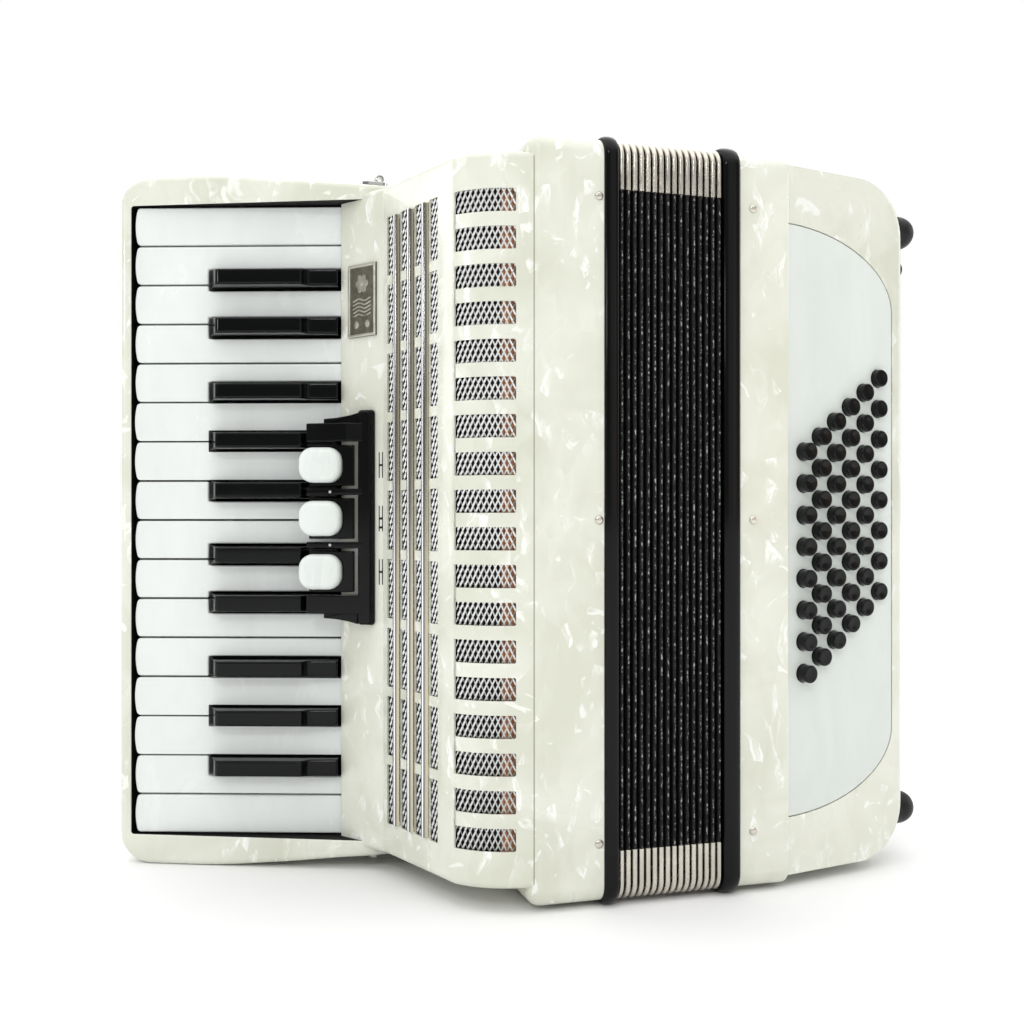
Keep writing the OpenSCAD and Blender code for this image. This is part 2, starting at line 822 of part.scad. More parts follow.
// The white board, bored for the buttons
module button_board() {
    color([0.9, 0.92, 0.92]) to_row() board_frame() translate([0, 0, mid_z])
        difference() {
            section_y(board_sunk, board_t) polygon(board_outline());
            for (row = [1:rows]) button_row(row) rotate([-90, 0, 0])
                cylinder(h = board_t + 2 * over, r = button_r + board_fit);
            translate([0, board_sunk - over, -board_h / 2])
                rotate([0, 0, -board_slant])
                    block([-board_t, board_fit], [0, 2 * board_t], [-over, board_h + over]);
        }
}

// Places its children at the buttons of a row, on the board's face
module button_row(row) {
    lift = rows_z - mid_z + (row - (rows + 1) / 2) * button_pitch / 2;
    for (i = [0:row_buttons - 1])
        translate([first_row + (row - 1) * row_step, board_sunk - over,
                   lift + (i - (row_buttons - 1) / 2) * button_pitch])
            children();
}

// A row of domed buttons, which slide through the board
module bass_row(row) {
    out = button_out - row_lean * (row - 1);
    back = 5;
    tip_r = button_r - 0.5;
    color([0.03, 0.03, 0.03]) to_row() board_frame() translate([0, 0, mid_z])
        button_row(row) translate([0, over - board_sunk, 0]) rotate([90, 0, 0])
            rotate_extrude() polygon([[0, -back], [button_r, -back], [button_r, out - 2.2],
                [tip_r, out - 0.8], [tip_r - 0.6, out - 0.2], [0, out]]);
}

module bass_row_1() bass_row(1);
module bass_row_2() bass_row(2);
module bass_row_3() bass_row(3);
module bass_row_4() bass_row(4);
module bass_row_5() bass_row(5);
module bass_row_6() bass_row(6);

module air_button() {
    back = 8;
    color([0.03, 0.03, 0.03]) to_row()
        translate([x_out, air_at[0], air_at[1]]) rotate([0, 90, 0])
            rotate_extrude() polygon([[0, -back], [air_r, -back], [air_r, air_out - 2],
                [air_r - 1.2, air_out - 0.5], [0, air_out]]);
}

// Four rubber feet, seated on the rounded corners of the cover
module rubber_feet() {
    base = 8;
    top_r = foot_r - 0.8;
    dome_r = 6.5;
    color([0.06, 0.06, 0.06]) to_row() difference() {
        for (y = foot_y, side = [-1, 1])
            translate([x_out, y, mid_z + side * foot_z]) rotate([0, 90, 0])
                rotate_extrude() polygon(concat(
                    [[0, -base], [foot_r, -base]],
                    corner([foot_r, -base], [top_r, foot_h], [0, foot_h], dome_r),
                    [[0, foot_h]]));
        bass_block(0);
    }
}

// The hand strap: a leather band that leaves room for the hand
module hand_strap() {
    path = [[x_out, strap_z[0]], [x_out, strap_z[0] + strap_end],
            [x_out + hand_gap, strap_z[0] + strap_slope],
            [x_out + hand_gap, strap_z[1] - strap_slope],
            [x_out, strap_z[1] - strap_end], [x_out, strap_z[1]]];
    radii = [0, 30, 60, 60, 30, 0];
    outer = [0, 30 + strap_t, 60, 60, 30 + strap_t, 0];
    color([0.1, 0.1, 0.1]) to_row()
        translate([0, strap_y[0], 0]) section_y(0, strap_y[1] - strap_y[0])
            polygon(concat(rounded_path(path, radii),
                           backwards(rounded_path(shifted(path, -strap_t), outer))));
}

// The thumb wheel that sets the strap's length, on its spindle
module strap_wheel() {
    color([0.7, 0.7, 0.72]) to_row() translate(wheel_at) {
        cylinder(h = wheel_h, r = wheel_r);
        translate([0, 0, spindle_z[0] - wheel_at.z])
            cylinder(h = spindle_z[1] - spindle_z[0], r = spindle_r);
    }
}

treble_casing();
treble_soundboard();
treble_reed_blocks();
treble_bellows_frame();
treble_casing_screws();
grille_cover();
grille_mesh();
grille_bars();
badge_plate();
register_housing();
register_switch_1();
register_switch_2();
register_switch_3();
keyboard_body();
key_rod();
strap_brackets();
white_key_01();
white_key_02();
white_key_03();
white_key_04();
white_key_05();
white_key_06();
white_key_07();
white_key_08();
white_key_09();
white_key_10();
white_key_11();
white_key_12();
white_key_13();
white_key_14();
white_key_15();
white_key_16();
black_key_01();
black_key_02();
black_key_03();
black_key_04();
black_key_05();
black_key_06();
black_key_07();
black_key_08();
black_key_09();
black_key_10();
bellows();
bass_bellows_frame();
bass_casing();
bass_casing_screws();
bass_soundboard();
bass_reed_blocks();
bass_cover();
button_board();
bass_row_1();
bass_row_2();
bass_row_3();
bass_row_4();
bass_row_5();
bass_row_6();
air_button();
rubber_feet();
hand_strap();
strap_wheel();
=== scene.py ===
# The looks of a 26-key piano accordion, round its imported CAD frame. Shapes are worked out in
# millimetres in the part's working frame: x = 0 is the seam between the grille cover and the
# treble casing, y = 0 the front face of the casings, and z = 0 the floor.
from math import acos, asin, atan2, cos, pi, radians, sin, sqrt, tan

import bmesh
import bpy
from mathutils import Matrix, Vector, noise


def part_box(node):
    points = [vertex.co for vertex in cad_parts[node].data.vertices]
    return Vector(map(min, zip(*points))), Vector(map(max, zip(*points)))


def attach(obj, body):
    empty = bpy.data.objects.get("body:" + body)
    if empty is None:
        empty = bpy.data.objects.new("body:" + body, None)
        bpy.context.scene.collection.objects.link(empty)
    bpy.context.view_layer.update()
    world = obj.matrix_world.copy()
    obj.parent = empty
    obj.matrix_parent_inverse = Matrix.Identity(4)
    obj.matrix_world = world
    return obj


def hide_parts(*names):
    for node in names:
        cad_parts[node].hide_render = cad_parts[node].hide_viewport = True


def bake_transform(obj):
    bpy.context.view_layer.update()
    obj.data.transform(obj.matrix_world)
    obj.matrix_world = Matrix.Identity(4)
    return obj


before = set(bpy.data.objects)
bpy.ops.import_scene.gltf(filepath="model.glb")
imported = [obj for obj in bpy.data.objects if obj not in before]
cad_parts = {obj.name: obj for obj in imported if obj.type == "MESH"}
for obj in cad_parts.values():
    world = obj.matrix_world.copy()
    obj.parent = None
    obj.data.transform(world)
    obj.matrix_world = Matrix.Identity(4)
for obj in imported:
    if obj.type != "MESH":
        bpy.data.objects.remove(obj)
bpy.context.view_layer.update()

MM = 0.001
SEAM_X, FRONT_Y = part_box("treble_casing")[0].xy


def at(x, y, z):
    """A point of the working frame as a place in the row frame, in metres."""
    return Vector((SEAM_X + x * MM, FRONT_Y + y * MM, z * MM))


def work_box(node):
    """Lowest and highest corner of a CAD node in the working frame, in millimetres."""
    return [Vector(((p.x - SEAM_X) / MM, (p.y - FRONT_Y) / MM, p.z / MM))
            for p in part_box(node)]


# Sizes read from the frame
CASING = work_box("treble_casing")
TREBLE_RIM = (CASING[1].x, work_box("bellows")[0].x)
BASS_CASING = work_box("bass_casing")
COVER = work_box("bass_cover")
X_FOLDS, X_BASS, X_COVER, X_OUT = TREBLE_RIM[1], BASS_CASING[0].x, COVER[0].x, COVER[1].x
OVERALL_H = work_box("keyboard_body")[1].z
MID_Y = (CASING[0].y + CASING[1].y) / 2
MID_Z = (CASING[0].z + CASING[1].z) / 2
HALF_W = (CASING[1].y - CASING[0].y) / 2
HALF_H = (CASING[1].z - CASING[0].z) / 2
GRILLE_Z = [corner.z for corner in work_box("grille_cover")]

# Edges that turn by less than this many degrees are shaded as one surface
SHARP = 38

# Sizes shared with the CAD source
CASING_R = 8
CASING_WALL = 7
FRAME_PROUD = 2
FOLDS = 16
FOLD_PITCH = 3.09
FOLD_DEPTH = 22
BASS_RIM = (X_FOLDS + FOLDS * FOLD_PITCH, X_BASS)
KEY_PITCH = 19
WHITE_KEYS = 16
WHITE_LEN = 101
BLACK_LEN = 64
KEY_GAP = 0.8
BLACK_H = 9.5
KEY_H = 14
KEY_SWEEP = radians(18.5)
KEY_TIP_R = 34
KEY_FOOT = Vector((-63.4, 99.9))
KEYBED_N = -21
LIP = (WHITE_LEN + 1.4, WHITE_LEN + 7.6)
CHEEK_N = (1, 11)
BLACK_AT = [octave + place for octave in (0, 7) for place in (1.88, 3.1, 4.75, 5.99, 7.25)]
GRILLE_RADII = [0, 36, 12, 5, 0]
SLOTS, SLOT_PITCH, SLOT_H = 18, 15.87, 9.8
WINDOW_ROWS, WINDOW_H, WINDOW_W = 9, 27.3, 7
COLUMNS = [15.7 + 12.4 * i for i in range(4)]
BAR_R = 2.5
SWITCH_Z = MID_Z + 0.7
SWITCH_PITCH = 25
BOARD_SLANT = radians(12.2)
BUTTON_R = 4.1
BUTTON_FIT = 0.3
BOARD_FOOT = Vector((X_COVER, COVER[0].y))
BOARD_W, BOARD_H, BOARD_FLAT_H = 67, 269, 198
PIN_Z = (-138.4, 0, 138.4)
WHEEL_Z, WHEEL_SLOT = (284, 290), (283, 291)

# Sizes in which the drawing departs from the CAD source
BLACK_W = 8.9
CHEEK_IN = 14.3
SHELL = 0.9
MESH_DEPTH = 1.25
SLOT_X = (-28.5, -5.2)
GRILLE_PATH = [(2.4, 1.4), (-18.6, 6.1), (-29, 17.5), (-48.1, 74.3), (-64, 98.3)]


# ---- outlines ----

def corner(a, b, c, r, steps):
    """Points of the arc that rounds corner b of the path a, b, c."""
    if r <= 0:
        return [b]
    to_a, to_c = (a - b).normalized(), (c - b).normalized()
    half = acos(max(-1, min(1, to_a.dot(to_c)))) / 2
    centre = b + (to_a + to_c).normalized() * r / sin(half)
    start = b + to_a * r / tan(half) - centre
    end = b + to_c * r / tan(half) - centre
    turn = atan2(start.x * end.y - start.y * end.x, start.dot(end)) / steps
    return [centre + Vector((start.x * cos(turn * i) - start.y * sin(turn * i),
                             start.x * sin(turn * i) + start.y * cos(turn * i)))
            for i in range(steps + 1)]


def rounded(points, radii, closed=True, steps=6):
    """A path of 2-D points with its corners rounded."""
    path, out = [Vector(p) for p in points], []
    if not isinstance(radii, (list, tuple)):
        radii = [radii] * len(path)
    for i, p in enumerate(path):
        if closed or 0 < i < len(path) - 1:
            out += corner(path[i - 1], p, path[(i + 1) % len(path)], radii[i], steps)
        else:
            out.append(p)
    return out


def inset(points, d, closed=True):
    """A path moved to its left by d, which is inwards where it runs anticlockwise."""
    path, out = [Vector(p) for p in points], []
    count = len(path)
    for i, p in enumerate(path):
        before = path[i] - path[i - 1] if closed or i else path[1] - path[0]
        after = path[(i + 1) % count] - path[i] if closed or i < count - 1 else before
        n0, n1 = (Vector((-v.y, v.x)).normalized() for v in (before, after))
        out.append(p + d * (n0 + n1) / (1 + n0.dot(n1)))
    return out


def rectangle(x, y):
    """The four corners of a rectangle, anticlockwise."""
    return [(x[0], y[0]), (x[1], y[0]), (x[1], y[1]), (x[0], y[1])]


def arc_drop(inside, r):
    """How far a rounding of radius r falls back at a distance inside the edge."""
    return r - sqrt(r * r - (r - inside) ** 2) if inside < r else 0


# ---- shapes: a list of points and a list of faces ----

def loft(rings, around=False, caps=True):
    """Faces between loops of equal length. With around, the last loop joins the first."""
    n, count = len(rings[0]), len(rings)
    points = [p for ring in rings for p in ring]
    faces = []
    for k in range(count if around else count - 1):
        a, b = k * n, (k + 1) % count * n
        faces += [(a + i, a + (i + 1) % n, b + (i + 1) % n, b + i) for i in range(n)]
    if caps and not around:
        faces += [tuple(range(n))[::-1], tuple(range((count - 1) * n, count * n))]
    return points, faces


def rim_levels(low, high, r_low, r_high, steps=3):
    """(height, inset) pairs up the side of a slab with rounded rims."""
    turns = [pi / 2 * i / steps for i in range(steps + 1)]
    bottom = [(low + r_low * (1 - cos(t)), r_low * (1 - sin(t))) for t in turns]
    top = [(high - r_high * (1 - cos(t)), r_high * (1 - sin(t))) for t in reversed(turns)]
    return (bottom if r_low else bottom[:1]) + (top if r_high else top[:1])


def slab(outline, low, high, place, r_low=0, r_high=0, steps=3):
    """An outline extruded from low to high, with rounded rims. place turns (a, b, h) into a point."""
    return loft([[place(p.x, p.y, h) for p in inset(outline, d)]
                 for h, d in rim_levels(low, high, r_low, r_high, steps)])


def lathe(profile, place, steps=24):
    """A profile of (radius, height) pairs turned about an axis."""
    return loft([[place(r * cos(2 * pi * i / steps), r * sin(2 * pi * i / steps), h)
                  for i in range(steps)] for r, h in profile])


def thicken(outer, inner, faces):
    """A sheet of faces made solid between two sets of points."""
    n, once = len(outer), set()
    for face in faces:
        for a, b in zip(face, face[1:] + face[:1]):
            if (b, a) in once:
                once.remove((b, a))
            else:
                once.add((a, b))
    back = [tuple(n + i for i in reversed(face)) for face in faces]
    sides = [(b, a, n + a, n + b) for a, b in sorted(once)]
    return outer + inner, faces + back + sides


def sweep(path, section, caps=True):
    """A closed section carried along a path of (place, across, up) frames."""
    return loft([[place + across * a + up * b for a, b in section]
                 for place, across, up in path], caps=caps)


def piece(name, parts, body, replaces=(), bevel=0, sharp=SHARP, between=None):
    """One piece from (shape, material) parts. It rides on a body; one given between is baked in place
    and rides on none.
    """
    mesh, bm, materials = bpy.data.meshes.new(name), bmesh.new(), []
    for (points, faces), material in parts:
        if material not in materials:
            materials.append(material)
        verts = [bm.verts.new(p) for p in points]
        for face in faces:
            made = bm.faces.new([verts[i] for i in face])
            made.material_index, made.smooth = materials.index(material), True
        bmesh.ops.remove_doubles(bm, verts=verts, dist=1e-7)
    bmesh.ops.dissolve_degenerate(bm, dist=1e-7, edges=bm.edges)
    bmesh.ops.recalc_face_normals(bm, faces=bm.faces)
    bm.to_mesh(mesh)
    bm.free()
    for material in materials:
        mesh.materials.append(material)
    obj = bpy.data.objects.new(name, mesh)
    bpy.context.scene.collection.objects.link(obj)
    if bevel:
        modifier = obj.modifiers.new("rounded_edges", "BEVEL")
        modifier.width, modifier.segments = bevel * MM, 3
        modifier.limit_method, modifier.angle_limit = "ANGLE", radians(sharp)
    else:
        mesh.set_sharp_from_angle(angle=radians(sharp))
    if not between:
        weighted = obj.modifiers.new("even_shading", "WEIGHTED_NORMAL")
        weighted.keep_sharp = True
        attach(obj, body)
    else:
        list(body)
        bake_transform(obj)
    if replaces:
        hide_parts(*([replaces] if isinstance(replaces, str) else replaces))
    return obj


def carve(obj, shapes):
    """Cuts closed shapes out of a piece, and keeps the result as its mesh."""
    for points, faces in shapes:
        mesh = bpy.data.meshes.new("cutter")
        mesh.from_pydata(points, [], faces)
        bm = bmesh.new()
        bm.from_mesh(mesh)
        bmesh.ops.remove_doubles(bm, verts=bm.verts, dist=1e-7)
        bmesh.ops.recalc_face_normals(bm, faces=bm.faces)
        bm.to_mesh(mesh)
        bm.free()
        cutter = bpy.data.objects.new("cutter", mesh)
        bpy.context.scene.collection.objects.link(cutter)
        cut = obj.modifiers.new("cut", "BOOLEAN")
        cut.object, cut.solver = cutter, "EXACT"
        while obj.modifiers.find("cut") > 0:
            obj.modifiers.move(obj.modifiers.find("cut"), obj.modifiers.find("cut") - 1)
        with bpy.context.temp_override(object=obj):
            bpy.ops.object.modifier_apply(modifier="cut")
        bpy.data.objects.remove(cutter)
    obj.data.set_sharp_from_angle(angle=radians(SHARP))
    return obj


# ---- materials ----

class Nodes:
    """A node tree whose nodes are added one line at a time."""

    def __init__(self, tree):
        self.nodes, self.links = tree.nodes, tree.links

    def put(self, socket, value):
        if isinstance(value, bpy.types.NodeSocket):
            self.links.new(value, socket)
        elif isinstance(value, tuple) and len(value) == 3 and socket.type == "RGBA":
            socket.default_value = (*value, 1)
        else:
            socket.default_value = value

    def add(self, kind, settings=(), **inputs):
        node = self.nodes.new(kind)
        for key, value in dict(settings).items():
            setattr(node, key, value)
        for key, value in inputs.items():
            self.put(node.inputs[key.replace("_", " ")], value)
        return node

    def maths(self, operation, a, b=0.5):
        node = self.add("ShaderNodeMath", {"operation": operation})
        self.put(node.inputs[0], a)
        self.put(node.inputs[1], b)
        return node.outputs[0]

    def vectors(self, operation, *values, out="Vector"):
        node = self.add("ShaderNodeVectorMath", {"operation": operation})
        for socket, value in zip(node.inputs, values):
            self.put(socket, value)
        return node.outputs[out]

    def mix(self, fac, a, b, blend="MIX"):
        node = self.add("ShaderNodeMix", {"data_type": "RGBA", "blend_type": blend})
        for index, value in ((0, fac), (6, a), (7, b)):
            self.put(node.inputs[index], value)
        return node.outputs[2]


class Look(Nodes):
    """A material. Its patterns lie in the object's own coordinates."""

    def __init__(self, name, **surface):
        self.material = bpy.data.materials.new(name)
        self.material.use_nodes = True
        super().__init__(self.material.node_tree)
        self.shader = self.nodes["Principled BSDF"]
        self.place = self.add("ShaderNodeTexCoord").outputs["Object"]
        self.paint(**surface)

    def spread(self, x, y, z):
        """The object's place, scaled along its axes."""
        return self.add("ShaderNodeMapping", Vector=self.place,
                        Scale=(x, y, z)).outputs["Vector"]

    def noise(self, scale, detail=3, rough=0.5, distortion=0, vector=None, out="Fac"):
        return self.add("ShaderNodeTexNoise", Vector=vector or self.place, Scale=scale,
                        Detail=detail, Roughness=rough, Distortion=distortion).outputs[out]

    def cells(self, scale, feature="F1", vector=None):
        return self.add("ShaderNodeTexVoronoi", {"feature": feature}, Scale=scale,
                        Vector=vector or self.place).outputs["Distance"]

    def ramp(self, fac, *stops):
        node = self.add("ShaderNodeValToRGB", Fac=fac)
        band = node.color_ramp.elements
        while len(band) < len(stops):
            band.new(0.5)
        for element, (position, colour) in zip(band, stops):
            element.position = position
            element.color = (*(colour if isinstance(colour, tuple) else (colour,) * 3), 1)
        return node.outputs["Color"]

    def shift(self, vector, by, amount):
        """A vector moved by a colour times an amount in metres."""
        return self.vectors("MULTIPLY_ADD", by, (amount,) * 3, vector)

    def bump(self, height, distance, strength=1):
        node = self.add("ShaderNodeBump", Height=height, Distance=distance, Strength=strength)
        self.links.new(node.outputs[0], self.shader.inputs["Normal"])

    def paint(self, **surface):
        for key, value in surface.items():
            self.put(self.shader.inputs[key.replace("_", " ")], value)
        return self.material


def pearloid(name):
    """Celluloid under a clear coat: leaning facets of pearl, faint except for a few that catch
    the light along one straight edge and fade out feathered towards the other."""
    look = Look(name, IOR=1.5, Coat_Weight=0.7, Coat_Roughness=0.04)
    curl = look.noise(26, 2, 0.5, 0.3, out="Color")
    bent = look.shift(look.place, curl, 0.020)
    facets = look.add("ShaderNodeMapping", Vector=bent, Rotation=(0.5, 0.6, 0.4),
                      Scale=(1, 1, 0.45)).outputs["Vector"]
    cell = look.add("ShaderNodeTexVoronoi", Vector=facets, Scale=150)
    offset = look.vectors("SUBTRACT", facets, cell.outputs["Position"])
    lean = look.vectors("SUBTRACT", cell.outputs["Color"], (0.5, 0.5, 0.5))
    across = look.vectors("DOT_PRODUCT", offset, lean, out="Value")
    slope = look.maths("MULTIPLY", across, 300)
    chosen = look.ramp(cell.outputs["Color"], (0.54, 0.0), (0.62, 1.0))
    feather = look.ramp(look.noise(420, 3, 0.6, 0.8, vector=facets), (0.38, 0.0), (0.60, 1.0))
    flake = look.maths("MULTIPLY", chosen, look.ramp(slope, (0.04, 0.0), (0.42, 1.0)))
    flake = look.maths("MULTIPLY", flake, feather)
    cloud = look.noise(24, 3, 0.5, 0.7, vector=bent)
    tone = look.maths("ADD", cloud, look.maths("MULTIPLY", slope, 0.06))
    body = look.ramp(tone, (0.34, (0.640, 0.652, 0.545)), (0.62, (0.735, 0.750, 0.655)))
    patch = look.ramp(look.noise(105, 2, 0.5, 0.6, vector=look.shift(look.place, curl, 0.05)),
                      (0.66, 0.0), (0.71, 0.7))
    white = look.maths("MAXIMUM", flake, patch)
    body = look.mix(look.maths("MULTIPLY", white, 0.9), body, (0.93, 0.935, 0.90))
    return look.paint(Base_Color=body, Roughness=look.ramp(cloud, (0.3, 0.34), (0.8, 0.24)))


def lacquer(name, colour, low=0.10, high=0.22, shine=0.5, scale=60, bump=0.0):
    """A polished surface, with faint smears in its gloss and a slight change of tone."""
    look = Look(name, IOR=1.5, Specular_IOR_Level=shine)
    smear = look.noise(scale, 4, 0.6, 0.8, vector=look.spread(1, 1, 0.35))
    darker = tuple(0.93 * c for c in colour)
    if bump:
        look.bump(look.noise(900, 2), bump)
    return look.paint(Base_Color=look.ramp(smear, (0.3, darker), (0.7, colour)),
                      Roughness=look.ramp(smear, (0.35, low), (0.7, high)))


def plated(name, colour, low=0.10, high=0.26, along=(1, 1, 1), dirt=0.35):
    """Plated metal with fine drawn lines and a little tarnish."""
    look = Look(name, Metallic=1.0)
    lines = look.noise(700, 3, 0.6, vector=look.spread(*along))
    cloud = look.noise(60, 3, 0.55, 0.6)
    dull = tuple(c * (1 - dirt) for c in colour)
    look.bump(lines, 0.00002, 0.4)
    return look.paint(Base_Color=look.ramp(cloud, (0.3, dull), (0.6, colour)),
                      Roughness=look.ramp(look.maths("MULTIPLY", lines, cloud),
                                          (0.12, low), (0.42, high)))


def leatherette(name):
    """Black grained cloth with a painted highlight: broken grain on the ridge tops is light grey."""
    look = Look(name, IOR=1.5, Specular_IOR_Level=0.2)
    grain = look.cells(1100)
    weave = look.noise(420, 3, 0.6)
    # Painted highlight: light grey dashes of grain, kept to the ridge tops by the ridge attribute.
    painted_highlight = look.ramp(look.noise(520, 4, 0.72, vector=look.spread(1.6, 1, 1)),
                       (0.53, 0.0), (0.66, 1.0))
    facing = look.add("ShaderNodeAttribute", {"attribute_name": "ridge"}).outputs["Fac"]
    shine = look.maths("MULTIPLY", painted_highlight, facing)
    look.bump(look.maths("ADD", grain, weave), 0.00012, 0.9)
    return look.paint(
        Base_Color=look.mix(shine, look.ramp(weave, (0.3, 0.003), (0.7, 0.009)),
                            (0.62, 0.64, 0.62)),
        Roughness=look.ramp(weave, (0.3, 0.38), (0.7, 0.58)))


def rubber(name, colour, rough=0.55):
    look = Look(name, IOR=1.45, Specular_IOR_Level=0.25)
    grain = look.noise(900, 4, 0.65)
    dust = look.noise(120, 3, 0.6)
    look.bump(grain, 0.00006, 0.7)
    lighter = tuple(c * 1.7 + 0.004 for c in colour)
    return look.paint(Base_Color=look.ramp(dust, (0.35, colour), (0.75, lighter)),
                      Roughness=look.ramp(grain, (0.3, rough - 0.12), (0.7, rough + 0.1)))


def leather(name, colour):
    look = Look(name, IOR=1.5)
    pores = look.cells(650)
    creases = look.cells(240, "DISTANCE_TO_EDGE",
                         vector=look.shift(look.place, look.noise(300, out="Color"), 0.002))
    look.bump(look.maths("ADD", pores, creases), 0.00015, 0.8)
    wear_and_wobble = look.noise(50, 4, 0.6)
    lighter = tuple(c * 2.2 + 0.006 for c in colour)
    return look.paint(Base_Color=look.ramp(wear_and_wobble, (0.35, colour), (0.8, lighter)),
                      Roughness=look.ramp(pores, (0.1, 0.62), (0.6, 0.42)))


def timber(name, dark, light):
    look = Look(name, IOR=1.5)
    grain = look.noise(140, 5, 0.62, 1.2, vector=look.spread(1, 1, 0.06))
    rings = look.noise(16, 2, 0.5, 2.0, vector=look.spread(1, 1, 0.1))
    look.bump(grain, 0.0001, 0.5)
    return look.paint(Base_Color=look.ramp(look.maths("MULTIPLY", grain, rings),
                                           (0.12, dark), (0.4, light)),
                      Roughness=look.ramp(grain, (0.3, 0.5), (0.7, 0.66)))


def felt(name, colour):
    look = Look(name, IOR=1.4, Sheen_Weight=0.4)
    fuzz = look.noise(1500, 4, 0.7)
    look.bump(fuzz, 0.0002, 0.8)
    darker = tuple(0.6 * c for c in colour)
    return look.paint(Base_Color=look.ramp(fuzz, (0.35, darker), (0.65, colour)),
                      Roughness=look.ramp(fuzz, (0.3, 0.85), (0.7, 0.98)))


def banded(name):
    """Chromed bars with painted reflections: bands of dark, white, slate and olive along them, by the
    way round the bar.
    """
    look = Look(name, Metallic=1.0)
    way = look.add("ShaderNodeAttribute", {"attribute_name": "around"}).outputs["Fac"]
    wear_and_wobble = look.noise(90, 3, 0.6, vector=look.spread(1, 1, 0.2))
    way = look.maths("ADD", way, look.maths("MULTIPLY", look.maths("SUBTRACT", wear_and_wobble), 0.05))
    lines = look.noise(800, 3, 0.6, vector=look.spread(1, 1, 0.02))
    look.bump(lines, 0.00002, 0.4)
    # Painted reflections: these colour bands stand in for what the chrome would reflect.
    return look.paint(
        Base_Color=look.ramp(way, (0.48, (0.05, 0.04, 0.03)), (0.52, (0.95, 0.95, 0.93)),
                             (0.60, (0.95, 0.95, 0.93)), (0.63, (0.16, 0.18, 0.19)),
                             (0.72, (0.24, 0.25, 0.25)), (0.77, (0.52, 0.47, 0.34))),
        Roughness=look.ramp(lines, (0.35, 0.12), (0.7, 0.24)))


def shade_and_wood_card(name):
    """The card behind the mesh: black as painted shade for the hollow inside, with the copper-brown
    of wood beside the seam.
    """
    look = Look(name, IOR=1.4)
    across = look.add("ShaderNodeSeparateXYZ", Vector=look.place).outputs["X"]
    warm = look.maths("MULTIPLY", look.maths("SUBTRACT", across, SEAM_X - 10.2 * MM), 1500)
    grain = look.noise(170, 4, 0.6, 1.0, vector=look.spread(1, 1, 0.12))
    wood = look.ramp(grain, (0.3, (0.50, 0.20, 0.09)), (0.7, (0.86, 0.42, 0.22)))
    # Painted shade: near black, standing for the dark inside of the casing.
    dark = look.ramp(grain, (0.3, 0.004), (0.7, 0.018))
    return look.paint(Base_Color=look.mix(look.ramp(warm, (0, 0.0), (1, 1.0)), dark, wood),
                      Roughness=look.ramp(grain, (0.3, 0.5), (0.7, 0.8)))


def antique(name):
    """Pewter with dark patina in its hollows, by the height of the relief."""
    look = Look(name, Metallic=0.85)
    relief = look.add("ShaderNodeAttribute", {"attribute_name": "relief"}).outputs["Fac"]
    stain = look.noise(260, 4, 0.65)
    height = look.maths("ADD", look.maths("MULTIPLY", relief, 0.75),
                        look.maths("MULTIPLY", stain, 0.35))
    look.bump(look.noise(1400, 3), 0.00005, 0.6)
    return look.paint(
        Base_Color=look.ramp(height, (0.18, (0.085, 0.080, 0.055)),
                             (0.50, (0.26, 0.25, 0.20)), (0.95, (0.68, 0.66, 0.58))),
        Roughness=look.ramp(height, (0.2, 0.55), (0.9, 0.28)))


PEARL = pearloid("pearloid")
GLOSS = lacquer("black_gloss", (0.0012, 0.0014, 0.0015), 0.07, 0.13, 0.2)
MATTE = lacquer("matte_black", (0.006, 0.006, 0.0065), 0.55, 0.68, 0.1)
KEY_WHITE = lacquer("key_white", (0.790, 0.825, 0.800), 0.20, 0.30, 0.4, 40)
KEY_BLACK = lacquer("key_black", (0.0012, 0.0016, 0.0018), 0.07, 0.12, 0.2, 80)
CAP_WHITE = lacquer("cap_white", (0.76, 0.80, 0.77), 0.22, 0.34, 0.4, 70)
BOARD = lacquer("board_white", (0.700, 0.745, 0.705), 0.40, 0.52, 0.3, 50, 0.00002)
BUTTON = lacquer("button_black", (0.0014, 0.0014, 0.0016), 0.08, 0.14, 0.25, 120)
CHROME = plated("chrome", (0.58, 0.58, 0.56), 0.06, 0.20, (1, 1, 0.02), 0.10)
BARS = banded("chrome_painted_reflections")
NICKEL = plated("nickel", (0.66, 0.63, 0.56), 0.16, 0.34, (1, 1, 1), 0.22)
MESH_METAL = plated("mesh_metal", (0.74, 0.75, 0.74), 0.30, 0.45, (1, 1, 1), 0.08)
STEEL = plated("steel", (0.55, 0.55, 0.56), 0.24, 0.42, (1, 1, 0.05), 0.25)
PEWTER = antique("pewter")
CLOTH = leatherette("bellows_cloth")
RUBBER = rubber("rubber", (0.005, 0.005, 0.005), 0.42)
LEATHER = leather("strap_leather", (0.012, 0.011, 0.010))
THREAD = felt("thread", (0.55, 0.54, 0.50))
FELT = felt("felt", (0.015, 0.015, 0.017))
SPRUCE = timber("wood", (0.36, 0.22, 0.11), (0.66, 0.46, 0.27))
SHADE_AND_WOOD = shade_and_wood_card("shade_and_wood_card")
# A dark olive for a painted shadow line along the cover's edge at the seam.
SEAM_SHADE = lacquer("seam", (0.30, 0.29, 0.21), 0.4, 0.5, 0.3)
INK = lacquer("ink", (0.012, 0.012, 0.012), 0.3, 0.5, 0.2)


# ---- casings, rims and screws ----

def casing_loop(x, d, steps=6):
    """The casings' outline at x, d inside their faces."""
    path = rectangle((d - HALF_W, HALF_W - d), (d - HALF_H, HALF_H - d))
    return [at(x, MID_Y + p.x, MID_Z + p.y)
            for p in rounded(path, max(CASING_R - d, 2), steps=steps)]


def casing_ring(levels):
    return loft([casing_loop(x, d) for x, d in levels], around=True)


